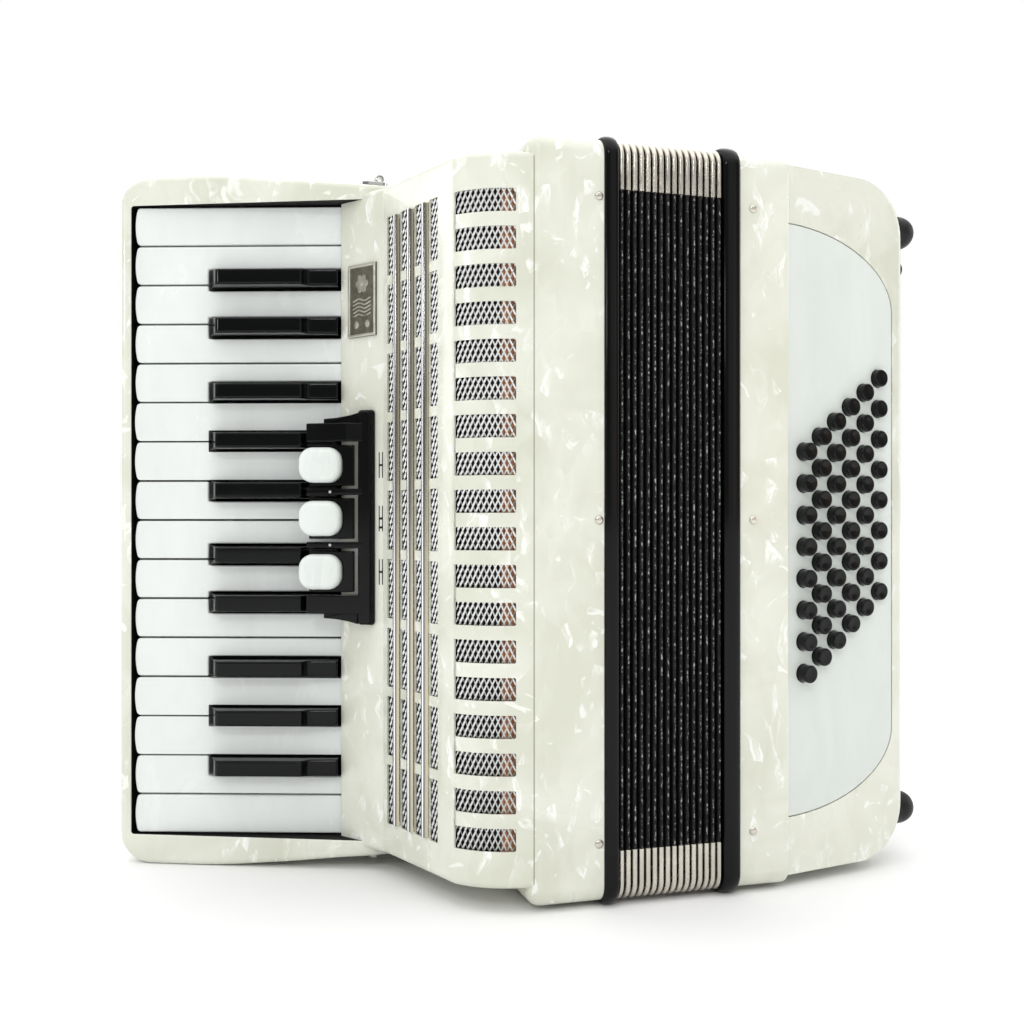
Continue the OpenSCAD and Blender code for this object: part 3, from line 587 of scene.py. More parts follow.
def casings():
    """Both casings: rings whose long edges are rounded, more so beside a cover."""
    for name, box, left, right in (("treble_casing", CASING, 6.4, 0.6),
                                   ("bass_casing", BASS_CASING, 0.6, 1.6)):
        x0, x1 = box[0].x, box[1].x
        levels = rim_levels(x0, x1, left, right, 5) + [(x1, CASING_WALL), (x0, CASING_WALL)]
        piece(name, [(casing_ring(levels), PEARL)],
              "treble_side" if name[0] == "t" else "bass_side", name)


def rims():
    """The black half-round rims, with a hidden flange under the nearest fold."""
    for name, (x0, x1), body, inner in (
            ("treble_bellows_frame", TREBLE_RIM, "treble_side", 1),
            ("bass_bellows_frame", BASS_RIM, "bass_side", -1)):
        middle, half = (x0 + x1) / 2, (x1 - x0) / 2
        turns = [pi * (1 - i / 12) for i in range(13)]
        levels = [(middle + half * cos(t), -FRAME_PROUD * sin(t) ** 0.7) for t in turns]
        levels += [(x1, CASING_WALL), (x0, CASING_WALL)]
        edge = x1 if inner > 0 else x0
        reach = sorted((middle, edge + inner * 2.2))
        flange = [(reach[0], FOLD_DEPTH + 1), (reach[1], FOLD_DEPTH + 1),
                  (reach[1], FOLD_DEPTH + 3), (reach[0], FOLD_DEPTH + 3)]
        web = sorted((middle - 1, middle + 1))
        plate = [(web[0], CASING_WALL - 1), (web[1], CASING_WALL - 1),
                 (web[1], FOLD_DEPTH + 3), (web[0], FOLD_DEPTH + 3)]
        piece(name, [(casing_ring(levels), GLOSS), (casing_ring(flange), FELT),
                     (casing_ring(plate), FELT)], body, name)


def screw_head(x, z, side, r=2.0, h=1.1):
    """A domed pin on a thin washer, on the front (side -1) or back (side 1) face."""
    y = CASING[1].y if side > 0 else CASING[0].y
    dome = [(r * cos(t) * 0.92, 0.25 + (h - 0.25) * sin(t))
            for t in (pi / 2 * i / 6 for i in range(7))]
    profile = [(0, -0.8), (r, -0.8), (r, 0.05), (r * 0.97, 0.18)] + dome
    return lathe(profile, lambda a, b, height: at(x + a, y + side * height, z + b), 20)


def screws():
    for name, body in (("treble_casing_screws", "treble_side"),
                       ("bass_casing_screws", "bass_side")):
        lo, hi = work_box(name)
        x = (lo.x + hi.x) / 2
        heads = [(screw_head(x, MID_Z + z, side), NICKEL) for z in PIN_Z for side in (-1, 1)]
        piece(name, heads, body, name)


# ---- bellows ----

def even_share(x):
    """Start and end of a span over which the folds near x would open evenly, and of a stiff one."""
    length = FOLDS * FOLD_PITCH
    share = (x - X_FOLDS) / length
    t = 0.5 - sin(asin(1 - 2 * share) / 3)
    spans = []
    for span in (6 * t * (1 - t) * length, 80 * length):
        spans.append((at(x - t * span, 0, 0), at(x + (1 - t) * span, 0, 0)))
    return spans


def fold_walls(x):
    """The two card walls of a fold, from its ridge down to its valleys."""
    half = FOLD_PITCH / 2
    profile = [(-half, FOLD_DEPTH), (-0.42, 1.2), (0.42, 1.2), (half, FOLD_DEPTH),
               (half, FOLD_DEPTH + 0.9), (half - 0.3, FOLD_DEPTH + 0.9), (0, 2.6),
               (0.3 - half, FOLD_DEPTH + 0.9), (-half, FOLD_DEPTH + 0.9)]
    return casing_ring([(x + dx, d) for dx, d in profile])


def binding(x, seed):
    """The grained tape over a ridge, a little uneven along its length."""
    profile = [(-0.95, 3.2), (-1.0, 1.5), (-0.86, 0.72), (-0.5, 0.2), (0, 0), (0.5, 0.2),
               (0.86, 0.72), (1.0, 1.5), (0.95, 3.2), (0.5, 3.2), (-0.5, 3.2)]
    rings = []
    for dx, d in profile:
        path = rounded(rectangle((d - HALF_W, HALF_W - d), (d - HALF_H, HALF_H - d)),
                       max(CASING_R - d, 2))
        ring = []
        for i, p in enumerate(path):
            after = path[(i + 1) % len(path)]
            count = max(1, int((after - p).length / 6))
            ring += [p.lerp(after, k / count) for k in range(count)]
        rings.append([at(x + dx + 0.16 * noise.noise(Vector((p.x / 14, p.y / 14, seed))),
                         MID_Y + p.x, MID_Z + p.y) for p in ring])
    return loft(rings, around=True)


def corner_cap(x, side_y, side_z, leg=21.5, r=1.2, gauge=0.3, depth=2.6):
    """A pressed nickel cover over a ridge, round one corner of the bellows."""
    turns = [pi * (1 - i / 8) for i in range(9)]
    section = [(r * cos(t), r * sin(t)) for t in turns]
    section += [(r, -depth + r), (r - gauge, -depth + r)]
    section += [((r - gauge) * cos(t), (r - gauge) * sin(t)) for t in reversed(turns)]
    section += [(gauge - r, -depth + r), (-r, -depth + r)]
    d = r - 0.25
    w, h = HALF_W - d, HALF_H - d
    route = [Vector((w, h - leg)), Vector((w, h)), Vector((w - leg, h))]
    route = rounded(route, CASING_R - d, closed=False, steps=8)
    frames = []
    for i, p in enumerate(route):
        ahead = route[min(i + 1, len(route) - 1)] - route[max(i - 1, 0)]
        out = Vector((ahead.y, -ahead.x)).normalized()
        frames.append((at(x, MID_Y + side_y * p.x, MID_Z + side_z * p.y),
                       Vector((1, 0, 0)) * MM, Vector((0, side_y * out.x, side_z * out.y)) * MM))
    return sweep(frames, section)


def ridge_attribute(obj):
    """Marks how near each point is to the top of its ridge, for the painted highlight on the grain.
    """
    # Depth in mm from the ridge top over which the painted highlight fades.
    painted_highlight, middle = 0.16, at(0, MID_Y, MID_Z)
    values = []
    for vertex in obj.data.vertices:
        place = (vertex.co - middle) / MM
        depth = min(HALF_W - abs(place.y), HALF_H - abs(place.z))
        values.append(max(0.0, 1 - depth / painted_highlight))
    obj.data.attributes.new("ridge", "FLOAT", "POINT").data.foreach_set("value", values)


def bellows():
    for i in range(FOLDS):
        x = X_FOLDS + (i + 0.5) * FOLD_PITCH
        even, stiff = even_share(x)
        number = f"{i + 1:02d}"
        walls = piece(f"bellows_fold_{number}", [(fold_walls(x), CLOTH)],
                      ("treble_side", "bass_side"), ["bellows"] if i == 0 else (),
                      between=even)
        tape = piece(f"bellows_binding_{number}", [(binding(x, i * 3.7), CLOTH)],
                     ("treble_side", "bass_side"), (), between=stiff)
        caps = [(corner_cap(x, sy, sz), NICKEL) for sy in (-1, 1) for sz in (-1, 1)]
        piece(f"bellows_corners_{number}", caps, ("treble_side", "bass_side"), (),
              between=stiff)
        for part in (walls, tape):
            ridge_attribute(part)


# ---- grille cover ----

class Path:
    """A 2-D path measured along its length, with the direction inwards from it."""

    def __init__(self, points):
        self.points = points
        self.stops = [0.0]
        for a, b in zip(points, points[1:]):
            self.stops.append(self.stops[-1] + (b - a).length)
        self.length = self.stops[-1]

    def at(self, s):
        s = min(max(s, 0), self.length)
        k = max(i for i, stop in enumerate(self.stops[:-1]) if stop <= s)
        t = (s - self.stops[k]) / (self.stops[k + 1] - self.stops[k])
        return self.points[k].lerp(self.points[k + 1], t)

    def inwards(self, s):
        """The normal on the right of the path, evened over a short length."""
        along = self.at(s + 0.6) - self.at(s - 0.6)
        return Vector((along.y, -along.x)).normalized()

    def station(self, direction, distance):
        """Where the path has gone a distance in a direction."""
        low, high = 0.0, self.length
        for _ in range(40):
            middle = (low + high) / 2
            if self.at(middle).dot(direction) < distance:
                low = middle
            else:
                high = middle
        return low


GRILLE = Path(rounded(GRILLE_PATH, GRILLE_RADII, closed=False, steps=24))
SIDE_FROM = Vector(GRILLE_PATH[2])
SIDE_DIR = (Vector(GRILLE_PATH[3]) - SIDE_FROM).normalized()
END_R = 3
# Width of the painted shadow line along the cover's edge at the seam.
SEAM_SHADE_W = 0.45


def side_station(distance):
    """Where the path is a distance along the side panel from its front corner."""
    return GRILLE.station(SIDE_DIR, SIDE_FROM.dot(SIDE_DIR) + distance)


def front_station(x):
    return GRILLE.station(Vector((-1, 0)), -x)


def openings():
    """(s0, s1, z0, z1, corner radius) of every slot and window."""
    holes = []
    for i in range(SLOTS):
        z = MID_Z + (i - (SLOTS - 1) / 2) * SLOT_PITCH
        holes.append((front_station(SLOT_X[1]), front_station(SLOT_X[0]),
                      z - SLOT_H / 2, z + SLOT_H / 2, 0.8))
    for row in range(WINDOW_ROWS):
        z = MID_Z + (row - (WINDOW_ROWS - 1) / 2) * 2 * SLOT_PITCH
        for column in COLUMNS:
            holes.append((side_station(column - WINDOW_W / 2),
                          side_station(column + WINDOW_W / 2),
                          z - WINDOW_H / 2, z + WINDOW_H / 2, 0.6))
    return holes


def grid_lines(fixed, wished, apart):
    """Sorted grid lines: all the fixed ones, and the wished ones that aren't too near."""
    lines = []
    for value in sorted(fixed):
        if not lines or value - lines[-1] > 1e-4:
            lines.append(value)
    for value in wished:
        if all(abs(value - line) > apart for line in lines):
            lines.append(value)
    return sorted(lines)


def grille_place(s, z, depth):
    """A point of the cover: s along its section, z, and how deep inside its outer face."""
    low, high = GRILLE_Z[0] + END_R, GRILLE_Z[1] - END_R
    back, over = 0.0, 0.0
    if z < low or z > high:
        beyond = min((low - z if z < low else z - high) / END_R, 1)
        turn = asin(beyond)
        back, over = END_R * (1 - cos(turn)), beyond
        back += depth * cos(turn)
        z += depth * over * (1 if z < low else -1)
    else:
        back = depth
    p = GRILLE.at(s) + GRILLE.inwards(s) * back
    return at(p.x, p.y, z)


def cover_lines(holes):
    """Grid lines of the cover's skin, along its section and up it."""
    along, up = [0, SEAM_SHADE_W, GRILLE.length], []
    for s0, s1, z0, z1, r in holes:
        along += [s0, s0 + r, s1 - r, s1]
        up += [z0, z0 + r, z1 - r, z1]
    ends = [END_R * (1 - sin(radians(15 * i))) for i in range(7)]
    up += [GRILLE_Z[0] + e for e in ends] + [GRILLE_Z[1] - e for e in ends]
    return grid_lines(along, GRILLE.stops, 0.35), grid_lines(up, [], 0)


def corner_fan(hole, left, low, vertex):
    """The faces between a corner of an opening and the arc that rounds it."""
    s0, s1, z0, z1, r = hole
    cs, cz = (s0 + r if left else s1 - r), (z0 + r if low else z1 - r)
    tip = vertex(s0 if left else s1, z0 if low else z1)
    arc = [vertex(cs + (-r if left else r) * cos(pi / 8 * i),
                  cz + (-r if low else r) * sin(pi / 8 * i)) for i in range(5)]
    fan = [(tip, a, b) for a, b in zip(arc, arc[1:])]
    return fan if left == low else [face[::-1] for face in fan]


def perforated():
    """The cover's skin: a grid of faces with round-cornered openings and closed ends."""
    holes = openings()
    s_lines, z_lines = cover_lines(holes)
    where, index, faces = [], {}, []

    def vertex(s, z):
        key = (round(s, 4), round(z, 4))
        if key not in index:
            index[key] = len(where)
            where.append((s, z))
        return index[key]

    for s0, s1 in zip(s_lines, s_lines[1:]):
        for z0, z1 in zip(z_lines, z_lines[1:]):
            s, z = (s0 + s1) / 2, (z0 + z1) / 2
            hole = next((h for h in holes if h[0] < s < h[1] and h[2] < z < h[3]), None)
            if not hole:
                faces.append((vertex(s0, z0), vertex(s1, z0), vertex(s1, z1), vertex(s0, z1)))
                continue
            h0, h1, k0, k1, r = hole
            left, low = s < h0 + r, z < k0 + r
            if (left or s > h1 - r) and (low or z > k1 - r):
                faces += corner_fan(hole, left, low, vertex)
    for z, turned in ((z_lines[0], False), (z_lines[-1], True)):
        row = tuple(vertex(s, z) for s in s_lines)
        where.append(("corner", z))
        cap = row + (len(where) - 1,)
        faces.append(cap[::-1] if not turned else cap)
    outer, inner = [], []
    back_y = GRILLE.points[-1].y
    for s, z in where:
        if s == "corner":
            outer.append(at(0, back_y, z))
            inner.append(at(0, back_y, z + (SHELL if z < MID_Z else -SHELL)))
        else:
            outer.append(grille_place(s, z, 0))
            inner.append(grille_place(s, z, SHELL))
    return thicken(outer, inner, faces)


def diamonds(s_range, z_range, wide=2.55, tall=5.2, hole=0.71, lean=0.42, gauge=0.3):
    """Expanded metal: a tiling of rhombic frames whose strands lean out at their lower edges."""
    columns = int((s_range[1] - s_range[0]) / wide * 2)
    rows = int((z_range[1] - z_range[0]) / tall * 2)
    places, faces, index = [], [], {}

    def vertex(i, j, depth):
        if (i, j) not in index:
            index[i, j] = len(places)
            places.append((s_range[0] + i * wide / 2, z_range[0] + j * tall / 2, depth))
        return index[i, j]

    for i in range(1, columns):
        for j in range(1 + i % 2, rows, 2):
            around = ((1, 0), (0, 1), (-1, 0), (0, -1))
            outer = [vertex(i + a, j + b, MESH_DEPTH) for a, b in around]
            inner = [vertex(i + a * hole, j + b * hole, MESH_DEPTH + b * lean)
                     for a, b in around]
            for a, b in ((0, 1), (1, 2), (2, 3), (3, 0)):
                faces.append((outer[a], outer[b], inner[b], inner[a]))
    sides = [[grille_place(s, z, depth + back) for s, z, depth in places]
             for back in (0, gauge)]
    return thicken(*sides, faces)


def grille():
    cover = piece("grille_cover", [(perforated(), PEARL)], "treble_side", "grille_cover",
                  sharp=30)
    # Faces along the cover's edge at the seam take the dark olive: a painted shadow line where cover
    # meets casing.
    cover.data.materials.append(SEAM_SHADE)
    for face in cover.data.polygons:
        if face.center.x > GRILLE.points[0].x * MM + SEAM_X - SEAM_SHADE_W * MM:
            face.material_index = 1
    front = (Vector(GRILLE_PATH[1]) - Vector(GRILLE_PATH[0])).normalized()
    panels = [Vector((-along.y, along.x, 0)) for along in (SIDE_DIR, front)]
    for face in cover.data.polygons:
        if any(abs(face.normal.dot(panel)) > 0.9999 for panel in panels):
            face.use_smooth = False
    z_range = (MID_Z - 145, MID_Z + 145)
    spans = ((front_station(SLOT_X[1]) - 1.2, front_station(SLOT_X[0]) + 1.2),
             (side_station(COLUMNS[0] - WINDOW_W / 2) - 1.2,
              side_station(COLUMNS[-1] + WINDOW_W / 2) + 1.2))
    for name, span in zip(("front", "side"), spans):
        piece(f"grille_mesh_{name}", [(diamonds(span, z_range), MESH_METAL)], "treble_side",
              "grille_mesh" if name == "front" else ())
    span = (1.5, side_station(COLUMNS[-1] + WINDOW_W / 2) + 1.2)
    steps = [span[0] + (span[1] - span[0]) * i / 30 for i in range(31)]
    sides = [[grille_place(s, z, d) for s in steps] for z in z_range for d in (5, 5.8)]
    ring = [sides[0], sides[2], sides[3], sides[1]]
    screen = loft([[row[i] for row in ring] for i in range(31)])
    piece("grille_screen", [(screen, SHADE_AND_WOOD)], "treble_side")


def bars():
    """Half-round chromed bars between the window columns, cut off flat at their ends."""
    lo, hi = work_box("grille_bars")
    out = Vector((-SIDE_DIR.y, SIDE_DIR.x))
    shapes, feet = [], []
    for a, b in zip(COLUMNS, COLUMNS[1:]):
        foot = SIDE_FROM + SIDE_DIR * (a + b) / 2 - out * 0.3
        rings = []
        for z, d in rim_levels(lo.z, hi.z, 0.4, 0.4):
            rings.append([at(*(foot + (BAR_R - d) * (SIDE_DIR * cos(t) + out * sin(t))), z)
                          for t in (pi * i / 14 for i in range(15))])
        shapes.append((loft(rings), BARS))
        feet.append(at(*foot, 0))
    bar = piece("grille_bars", shapes, "treble_side", "grille_bars")
    # The way round each bar, which places the painted reflection bands of its chrome.
    values = []
    for vertex in bar.data.vertices:
        foot = min(feet, key=lambda place: (vertex.co - place).xy.length)
        from_foot = (vertex.co - foot).xy
        values.append(atan2(from_foot.dot(out), from_foot.dot(SIDE_DIR)) / pi)
    bar.data.attributes.new("around", "FLOAT", "POINT").data.foreach_set("value", values)


# ---- badge ----

def relief_height(a, b):
    """An ornament of the plate's own: a rosette, staff lines and two studs, in a raised rim."""
    edge = min(1 - abs(a), (1 - abs(b)) * 1.68)
    if edge < 0.13:
        return 1.0 if edge > 0.03 else 0.75
    if edge < 0.18:
        return 0.15
    height = 0.16 + 0.05 * noise.noise(Vector((a * 5, b * 9, 3)))
    x, y = a * 0.59, b - 0.46
    radius, angle = sqrt(x * x + y * y), atan2(y, x)
    if radius < 0.27 * (0.72 + 0.28 * abs(cos(3 * angle))):
        height = 0.85 - 0.9 * radius
    if radius < 0.06:
        height = 1.0
    if -0.42 < b < 0.08 and abs(a) < 0.66:
        wave = b + 0.03 * sin(7 * a)
        height = 0.78 if (wave * 9.5) % 1 < 0.36 else height
    for side in (-1, 1):
        stud = sqrt((a * 0.59 - side * 0.24) ** 2 + (b + 0.66) ** 2)
        if stud < 0.1:
            height = 0.95 - 3 * stud
    return height


def badge():
    lo, hi = work_box("badge_plate")
    wall_dir = (Vector(GRILLE_PATH[4]) - Vector(GRILLE_PATH[3])).normalized()
    out = Vector((-wall_dir.y, wall_dir.x))
    from_keys, width, thick, rise = 6, 18.5, 0.85, 0.55
    half_h = (hi.z - lo.z) / 2 - 1.3
    middle = Vector(GRILLE_PATH[4]) - wall_dir * (from_keys + width / 2)
    columns, rows = 66, 110
    points, heights, faces = [], [], []
    for i in range(columns + 1):
        for j in range(rows + 1):
            a, b = 2 * i / columns - 1, 2 * j / rows - 1
            height = relief_height(a, b)
            p = middle + wall_dir * (-a * width / 2) + out * (thick + rise * height)
            points.append(at(*p, (lo.z + hi.z) / 2 + b * half_h))
            heights.append(height)
    for i in range(columns):
        for j in range(rows):
            k = i * (rows + 1) + j
            faces.append((k, k + rows + 1, k + rows + 2, k + 1))
    back = [p - (Vector((*out, 0)) * ((thick + rise * h) * MM))
            for p, h in zip(points, heights)]
    plate = piece("badge_plate", [(thicken(points, back, faces), PEWTER)], "treble_side",
                  "badge_plate", sharp=80)
    values = [0.0] * len(plate.data.vertices)
    base = at(*middle, 0)
    for vertex in plate.data.vertices:
        beyond = (vertex.co - base).xy.dot(out) / MM
        values[vertex.index] = max(0.0, (beyond - thick) / rise)
    plate.data.attributes.new("relief", "FLOAT", "POINT").data.foreach_set("value", values)


# ---- keyboard ----

def key_xy(u, n):
    """A point of the key frame: u outwards along the key tops, n up from them."""
    return Vector((KEY_FOOT.x - u * cos(KEY_SWEEP) - n * sin(KEY_SWEEP),
                   KEY_FOOT.y + u * sin(KEY_SWEEP) - n * cos(KEY_SWEEP)))


def in_keys(u, n, z):
    return at(*key_xy(u, n), z)


def cheek_n(u):
    """Height of the cheeks' front over the key tops."""
    return CHEEK_N[0] + (CHEEK_N[1] - CHEEK_N[0]) * (LIP[1] - u) / (LIP[1] + 10)


BOW = rounded([(-170, 0), (-120, 0), (-85, 3.3), (-57, 6.7), (1, 8)],
              [0, 280, 280, 280, 0], closed=False)


def bow(x):
    """How far the ends of the keyboard body draw in towards the casings."""
    for a, b in zip(BOW, BOW[1:]):
        if x <= b.x:
            break
    return a.lerp(b, min((x - a.x) / (b.x - a.x), 1)).y


def body_rings():
    """Sections of the keyboard body, from its outer end to the casing."""
    front = Path([key_xy(LIP[1], CHEEK_N[0]), key_xy(-10, CHEEK_N[1]), Vector((-48, 84)),
                  Vector((0, 84))])
    back = Path(rounded([key_xy(LIP[1], -34), (-118, 168), (0, 168)], [0, 60, 0],
                        closed=False))
    corner_r, lip_r, back_r, edge_r = 16, 3, 9, 3
    insides = [corner_r * (1 - cos(radians(9 * i))) for i in range(11)]
    insides += [corner_r + (front.length - corner_r) * (i / 26) for i in range(1, 27)]
    rings = []
    for c in insides:
        a = front.at(c)
        b = back.at(c if c <= corner_r else corner_r + (back.length - corner_r)
                    * (c - corner_r) / (front.length - corner_r))
        across = (b - a).normalized()
        a, b = a + across * arc_drop(c, lip_r), b - across * arc_drop(c, back_r)
        half = OVERALL_H / 2 - arc_drop(c, corner_r)
        width = (b - a).length
        loop = rounded(rectangle((0, width), (-half, half)), [edge_r, back_r, back_r, edge_r])
        ring = []
        for p in loop:
            xy = a + across * p.x
            ring.append(at(*xy, OVERALL_H / 2 + p.y * (1 - bow(xy.x) / half)))
        rings.append(ring)
    return rings


def keyboard_body():
    """The keyboard body, hollowed for the keys, and the felt bed under them."""
    body = piece("keyboard_body", [(loft(body_rings()), PEARL)], "treble_side",
                 "keyboard_body")
    opening = rounded(rectangle((-75, LIP[0]), (CHEEK_IN, OVERALL_H - CHEEK_IN)), 1.4, steps=3)
    rim = 0.3
    levels = [(None, 0), (-rim, 0), (0, rim), (14, rim)]
    cut = []
    for rise, grow in levels:
        loop = inset(opening, -grow)
        cut.append([in_keys(p.x, KEYBED_N if rise is None else cheek_n(p.x) + rise, p.y)
                    for p in loop])
    carve(body, [loft(cut)])
    body.data.materials.append(MATTE)
    for face in body.data.polygons:
        place = (face.center - at(*KEY_FOOT, 0)) / MM
        u = -place.x * cos(KEY_SWEEP) + place.y * sin(KEY_SWEEP)
        n = -place.x * sin(KEY_SWEEP) - place.y * cos(KEY_SWEEP)
        inside = u < LIP[0] + 0.1 and CHEEK_IN - 0.1 < place.z < OVERALL_H - CHEEK_IN + 0.1
        if inside and KEYBED_N - 0.5 < n < cheek_n(u) - rim:
            face.material_index = 1
    bed = rounded(rectangle((-60, LIP[0] - 0.4), (CHEEK_IN + 0.4, OVERALL_H - CHEEK_IN - 0.4)),
                  1.0, steps=3)
    piece("keybed_felt", [(slab(bed, KEYBED_N - 0.2, KEYBED_N + 2, lambda u, z, n:
                                in_keys(u, n, z), 0, 0.6), FELT)], "treble_side")


def key_z(p):
    """Height of a place on the keyboard, in white keys from its top end."""
    return MID_Z + (WHITE_KEYS / 2 - p) * KEY_PITCH


def white_key(i):
    notch = (BLACK_W / 2 + KEY_GAP) / KEY_PITCH
    neck_from = max([i] + [b + notch for b in BLACK_AT if b < i + 0.5])
    neck_to = min([i + 1] + [b - notch for b in BLACK_AT if b > i + 0.5])
    low, high = key_z(i + 1) + KEY_GAP / 2, key_z(i) - KEY_GAP / 2
    neck_low = key_z(neck_to) + (KEY_GAP / 2 if neck_to == i + 1 else 0)
    neck_high = key_z(neck_from) - (KEY_GAP / 2 if neck_from == i else 0)
    shoulder, inner = BLACK_LEN + 1, -16
    half = asin((high - low) / 2 / KEY_TIP_R)
    turns = (-1, -0.7, -0.45, -0.22, 0, 0.22, 0.45, 0.7, 1)
    tip = [Vector((WHITE_LEN - KEY_TIP_R * (1 - cos(half * t)),
                   (low + high) / 2 + KEY_TIP_R * sin(half * t))) for t in turns]
    tip = (corner(Vector((shoulder, low)), tip[0], tip[1], 1.8, 4) + tip[1:-1]
           + corner(tip[-2], tip[-1], Vector((shoulder, high)), 1.8, 4))
    outline = [(inner, neck_low)]
    outline += [(shoulder, neck_low), (shoulder, low)] if neck_low > low else []
    outline += tip
    outline += [(shoulder, high), (shoulder, neck_high)] if neck_high < high else []
    outline += [(inner, neck_high)]
    shape = slab([Vector(p) for p in outline], -KEY_H, 0, lambda u, z, n: in_keys(u, n, z))
    name = f"white_key_{i + 1:02d}"
    piece(name, [(shape, KEY_WHITE)], name, name, bevel=0.85, sharp=30)


def black_key(index):
    middle = key_z(BLACK_AT[index])
    top = rounded([(-14, -2), (1, -1.9), (1.3, 6), (15, 6.7), (18.4, BLACK_H),
                   (BLACK_LEN - 5, BLACK_H), (BLACK_LEN, 0.4)], [0, 0, 0.9, 3, 2.2, 3, 0],
                  closed=False, steps=5)
    half, rings = BLACK_W / 2, []
    for p in top:
        narrow = half - 0.75 * max(p.y, 0) / BLACK_H
        r = min(1.15, max(0.42 * p.y, 0.1))
        flank = min(0, p.y - 0.4)
        section = rounded([(-half, -KEY_H), (half, -KEY_H), (half, flank), (narrow, p.y),
                           (-narrow, p.y), (-half, flank)], [0, 0, 0, r, r, 0], steps=4)
        rings.append([in_keys(p.x, q.y, middle + q.x) for q in section])
    name = f"black_key_{index + 1:02d}"
    piece(name, [(loft(rings), KEY_BLACK)], name, name, sharp=34)


# ---- registers ----

def register_slab(outline, radii, low, high, r=0.7):
    """An outline of the key frame extruded along the keys, about the middle switch."""
    return slab(rounded(outline, radii, steps=5), low, high,
                lambda u, n, h: in_keys(u, n, SWITCH_Z + h), r, r)


def registers():
    """The black frame of the switches: end blocks, separators, a bar behind and its flanges."""
    block = [(-6.1, 6.9), (-1, 11.2), (14, 11.8), (15, 14.4), (-4, 19.6), (-13.4, 17.4),
             (-16.5, 14.9)]
    block_radii = [0, 3, 1, 1, 5, 0.5, 0]
    bar = [(-10.2, 9.76), (-10.2, 17), (-15.5, 18.6), (-18.8, 16.4)]
    parts = [register_slab(bar, [0.5, 1.5, 2, 0.8], -50, 51, 1.6)]
    for side in (-1, 1):
        parts.append(register_slab(block, block_radii, *sorted((side * 36.1, side * 44.9))))
        middle = side * SWITCH_PITCH / 2
        parts.append(register_slab(block, block_radii, middle - 1.5, middle + 1.5, 0.5))
        flange = [(-10.4, 43), (6, 43), (6, 46.9), (0, 47.4), (-6, 48.5), (-10.4, 49.8)]
        flange = [(u, side * h) for u, h in flange[::side]]
        parts.append(slab(rounded(flange, 0.4, steps=3), 11.4, 16.6, lambda u, h, n:
                          in_keys(u, n, SWITCH_Z + h), 0, 0.7))
    piece("register_housing", [(shape, GLOSS) for shape in parts], "treble_side",
          "register_housing")
    studs = [lathe([(0, 0), (0.8, 0), (0.8, 0.3), (0.5, 0.6), (0, 0.7)],
                   lambda a, b, h, side=side: in_keys(2.6 + a, 17.4 + h, SWITCH_Z + b
                                                      + side * SWITCH_PITCH / 2), 12)
             for side in (-1, 1)]
    piece("register_studs", [(shape, STEEL) for shape in studs], "treble_side")
    for index in range(3):
        z = SWITCH_Z + (1 - index) * SWITCH_PITCH
        switch(f"register_switch_{index + 1}", z)
        engraved_mark(f"register_mark_{index + 1}", z, ((0,), (0, 4.2), (0,))[index])


def switch(name, z):
    """A rocker: a black body on the pivot, and the white cap on its lever."""
    body = [(-8.4, 12.6), (-6, 10.6), (-3, 10.8), (0, 13.4), (13, 14.0), (13, 16.2), (-3.6, 17.0),
            (-8.4, 17.0)]
    rocker = slab(rounded(body, [1, 1, 2, 2, 0.8, 0.8, 0.5, 0.8], steps=4), -9.6, 9.6,
                  lambda u, n, h: in_keys(u, n, z + h), 0.5, 0.5)
    length, width, low, high, crown = 20, 16.5, 15.4, 22.1, 0.4
    outline = rounded(rectangle((-3, length - 3), (-width / 2, width / 2)), 6.4, steps=8)
    middle = Vector((length / 2 - 3, 0))
    rings = [[(p, h) for p in inset(outline, d)] for h, d in rim_levels(low, high, 0.8, 2.6, 6)]
    rim = rings[-1]
    for share in (0.75, 0.5, 0.25, 0.02):
        rings.append([(middle.lerp(p, share), high + crown * (1 - share * share))
                      for p, _ in rim])
    cap = loft([[in_keys(p.x, h, z + p.y) for p, h in ring] for ring in rings])
    piece(name, [(rocker, GLOSS), (cap, CAP_WHITE)], name, name)


def engraved_mark(name, z, dots):
    """Two lines with a dot between them, inlaid in the wall beside a switch."""
    crease = GRILLE.station(SIDE_DIR, Vector(GRILLE_PATH[3]).dot(SIDE_DIR))
    middle = crease + 1.6
    shapes = []

    def inlay(s0, s1, z0, z1):
        outer = [grille_place(s, h, -0.06) for s, h in rectangle((s0, s1), (z0, z1))]
        inner = [grille_place(s, h, 0.3) for s, h in rectangle((s0, s1), (z0, z1))]
        return loft([outer, inner])

    for side in (-1, 1):
        line = middle + side * 1.1
        shapes.append(inlay(line - 0.3, line + 0.3, z - 6, z + 6))
    for drop in dots:
        shapes.append(inlay(middle - 1.1, middle + 1.1, z - drop - 0.5, z - drop + 0.5))
    piece(name, [(shape, INK) for shape in shapes], "treble_side")


# ---- bass end ----

def bass_loop(z, inside):
    """The bass cover's section at z, drawn in near its two ends."""
    x0, x1, y0, y1 = X_COVER, X_OUT - inside, COVER[0].y, COVER[1].y
    path = [(x0, y0), (x1, y0 + (x1 - x0) * tan(BOARD_SLANT)), (x1, y1), (x0, y1)]
    return [at(*p, z) for p in rounded(path, [0.8, 4, 12, 0.8], steps=7)]


def board_place(s, z, depth):
    """A point of the button board: s along its slant, z, and depth behind its face."""
    return at(BOARD_FOOT.x + s * cos(BOARD_SLANT) - depth * sin(BOARD_SLANT),
              BOARD_FOOT.y + s * sin(BOARD_SLANT) + depth * cos(BOARD_SLANT), z)


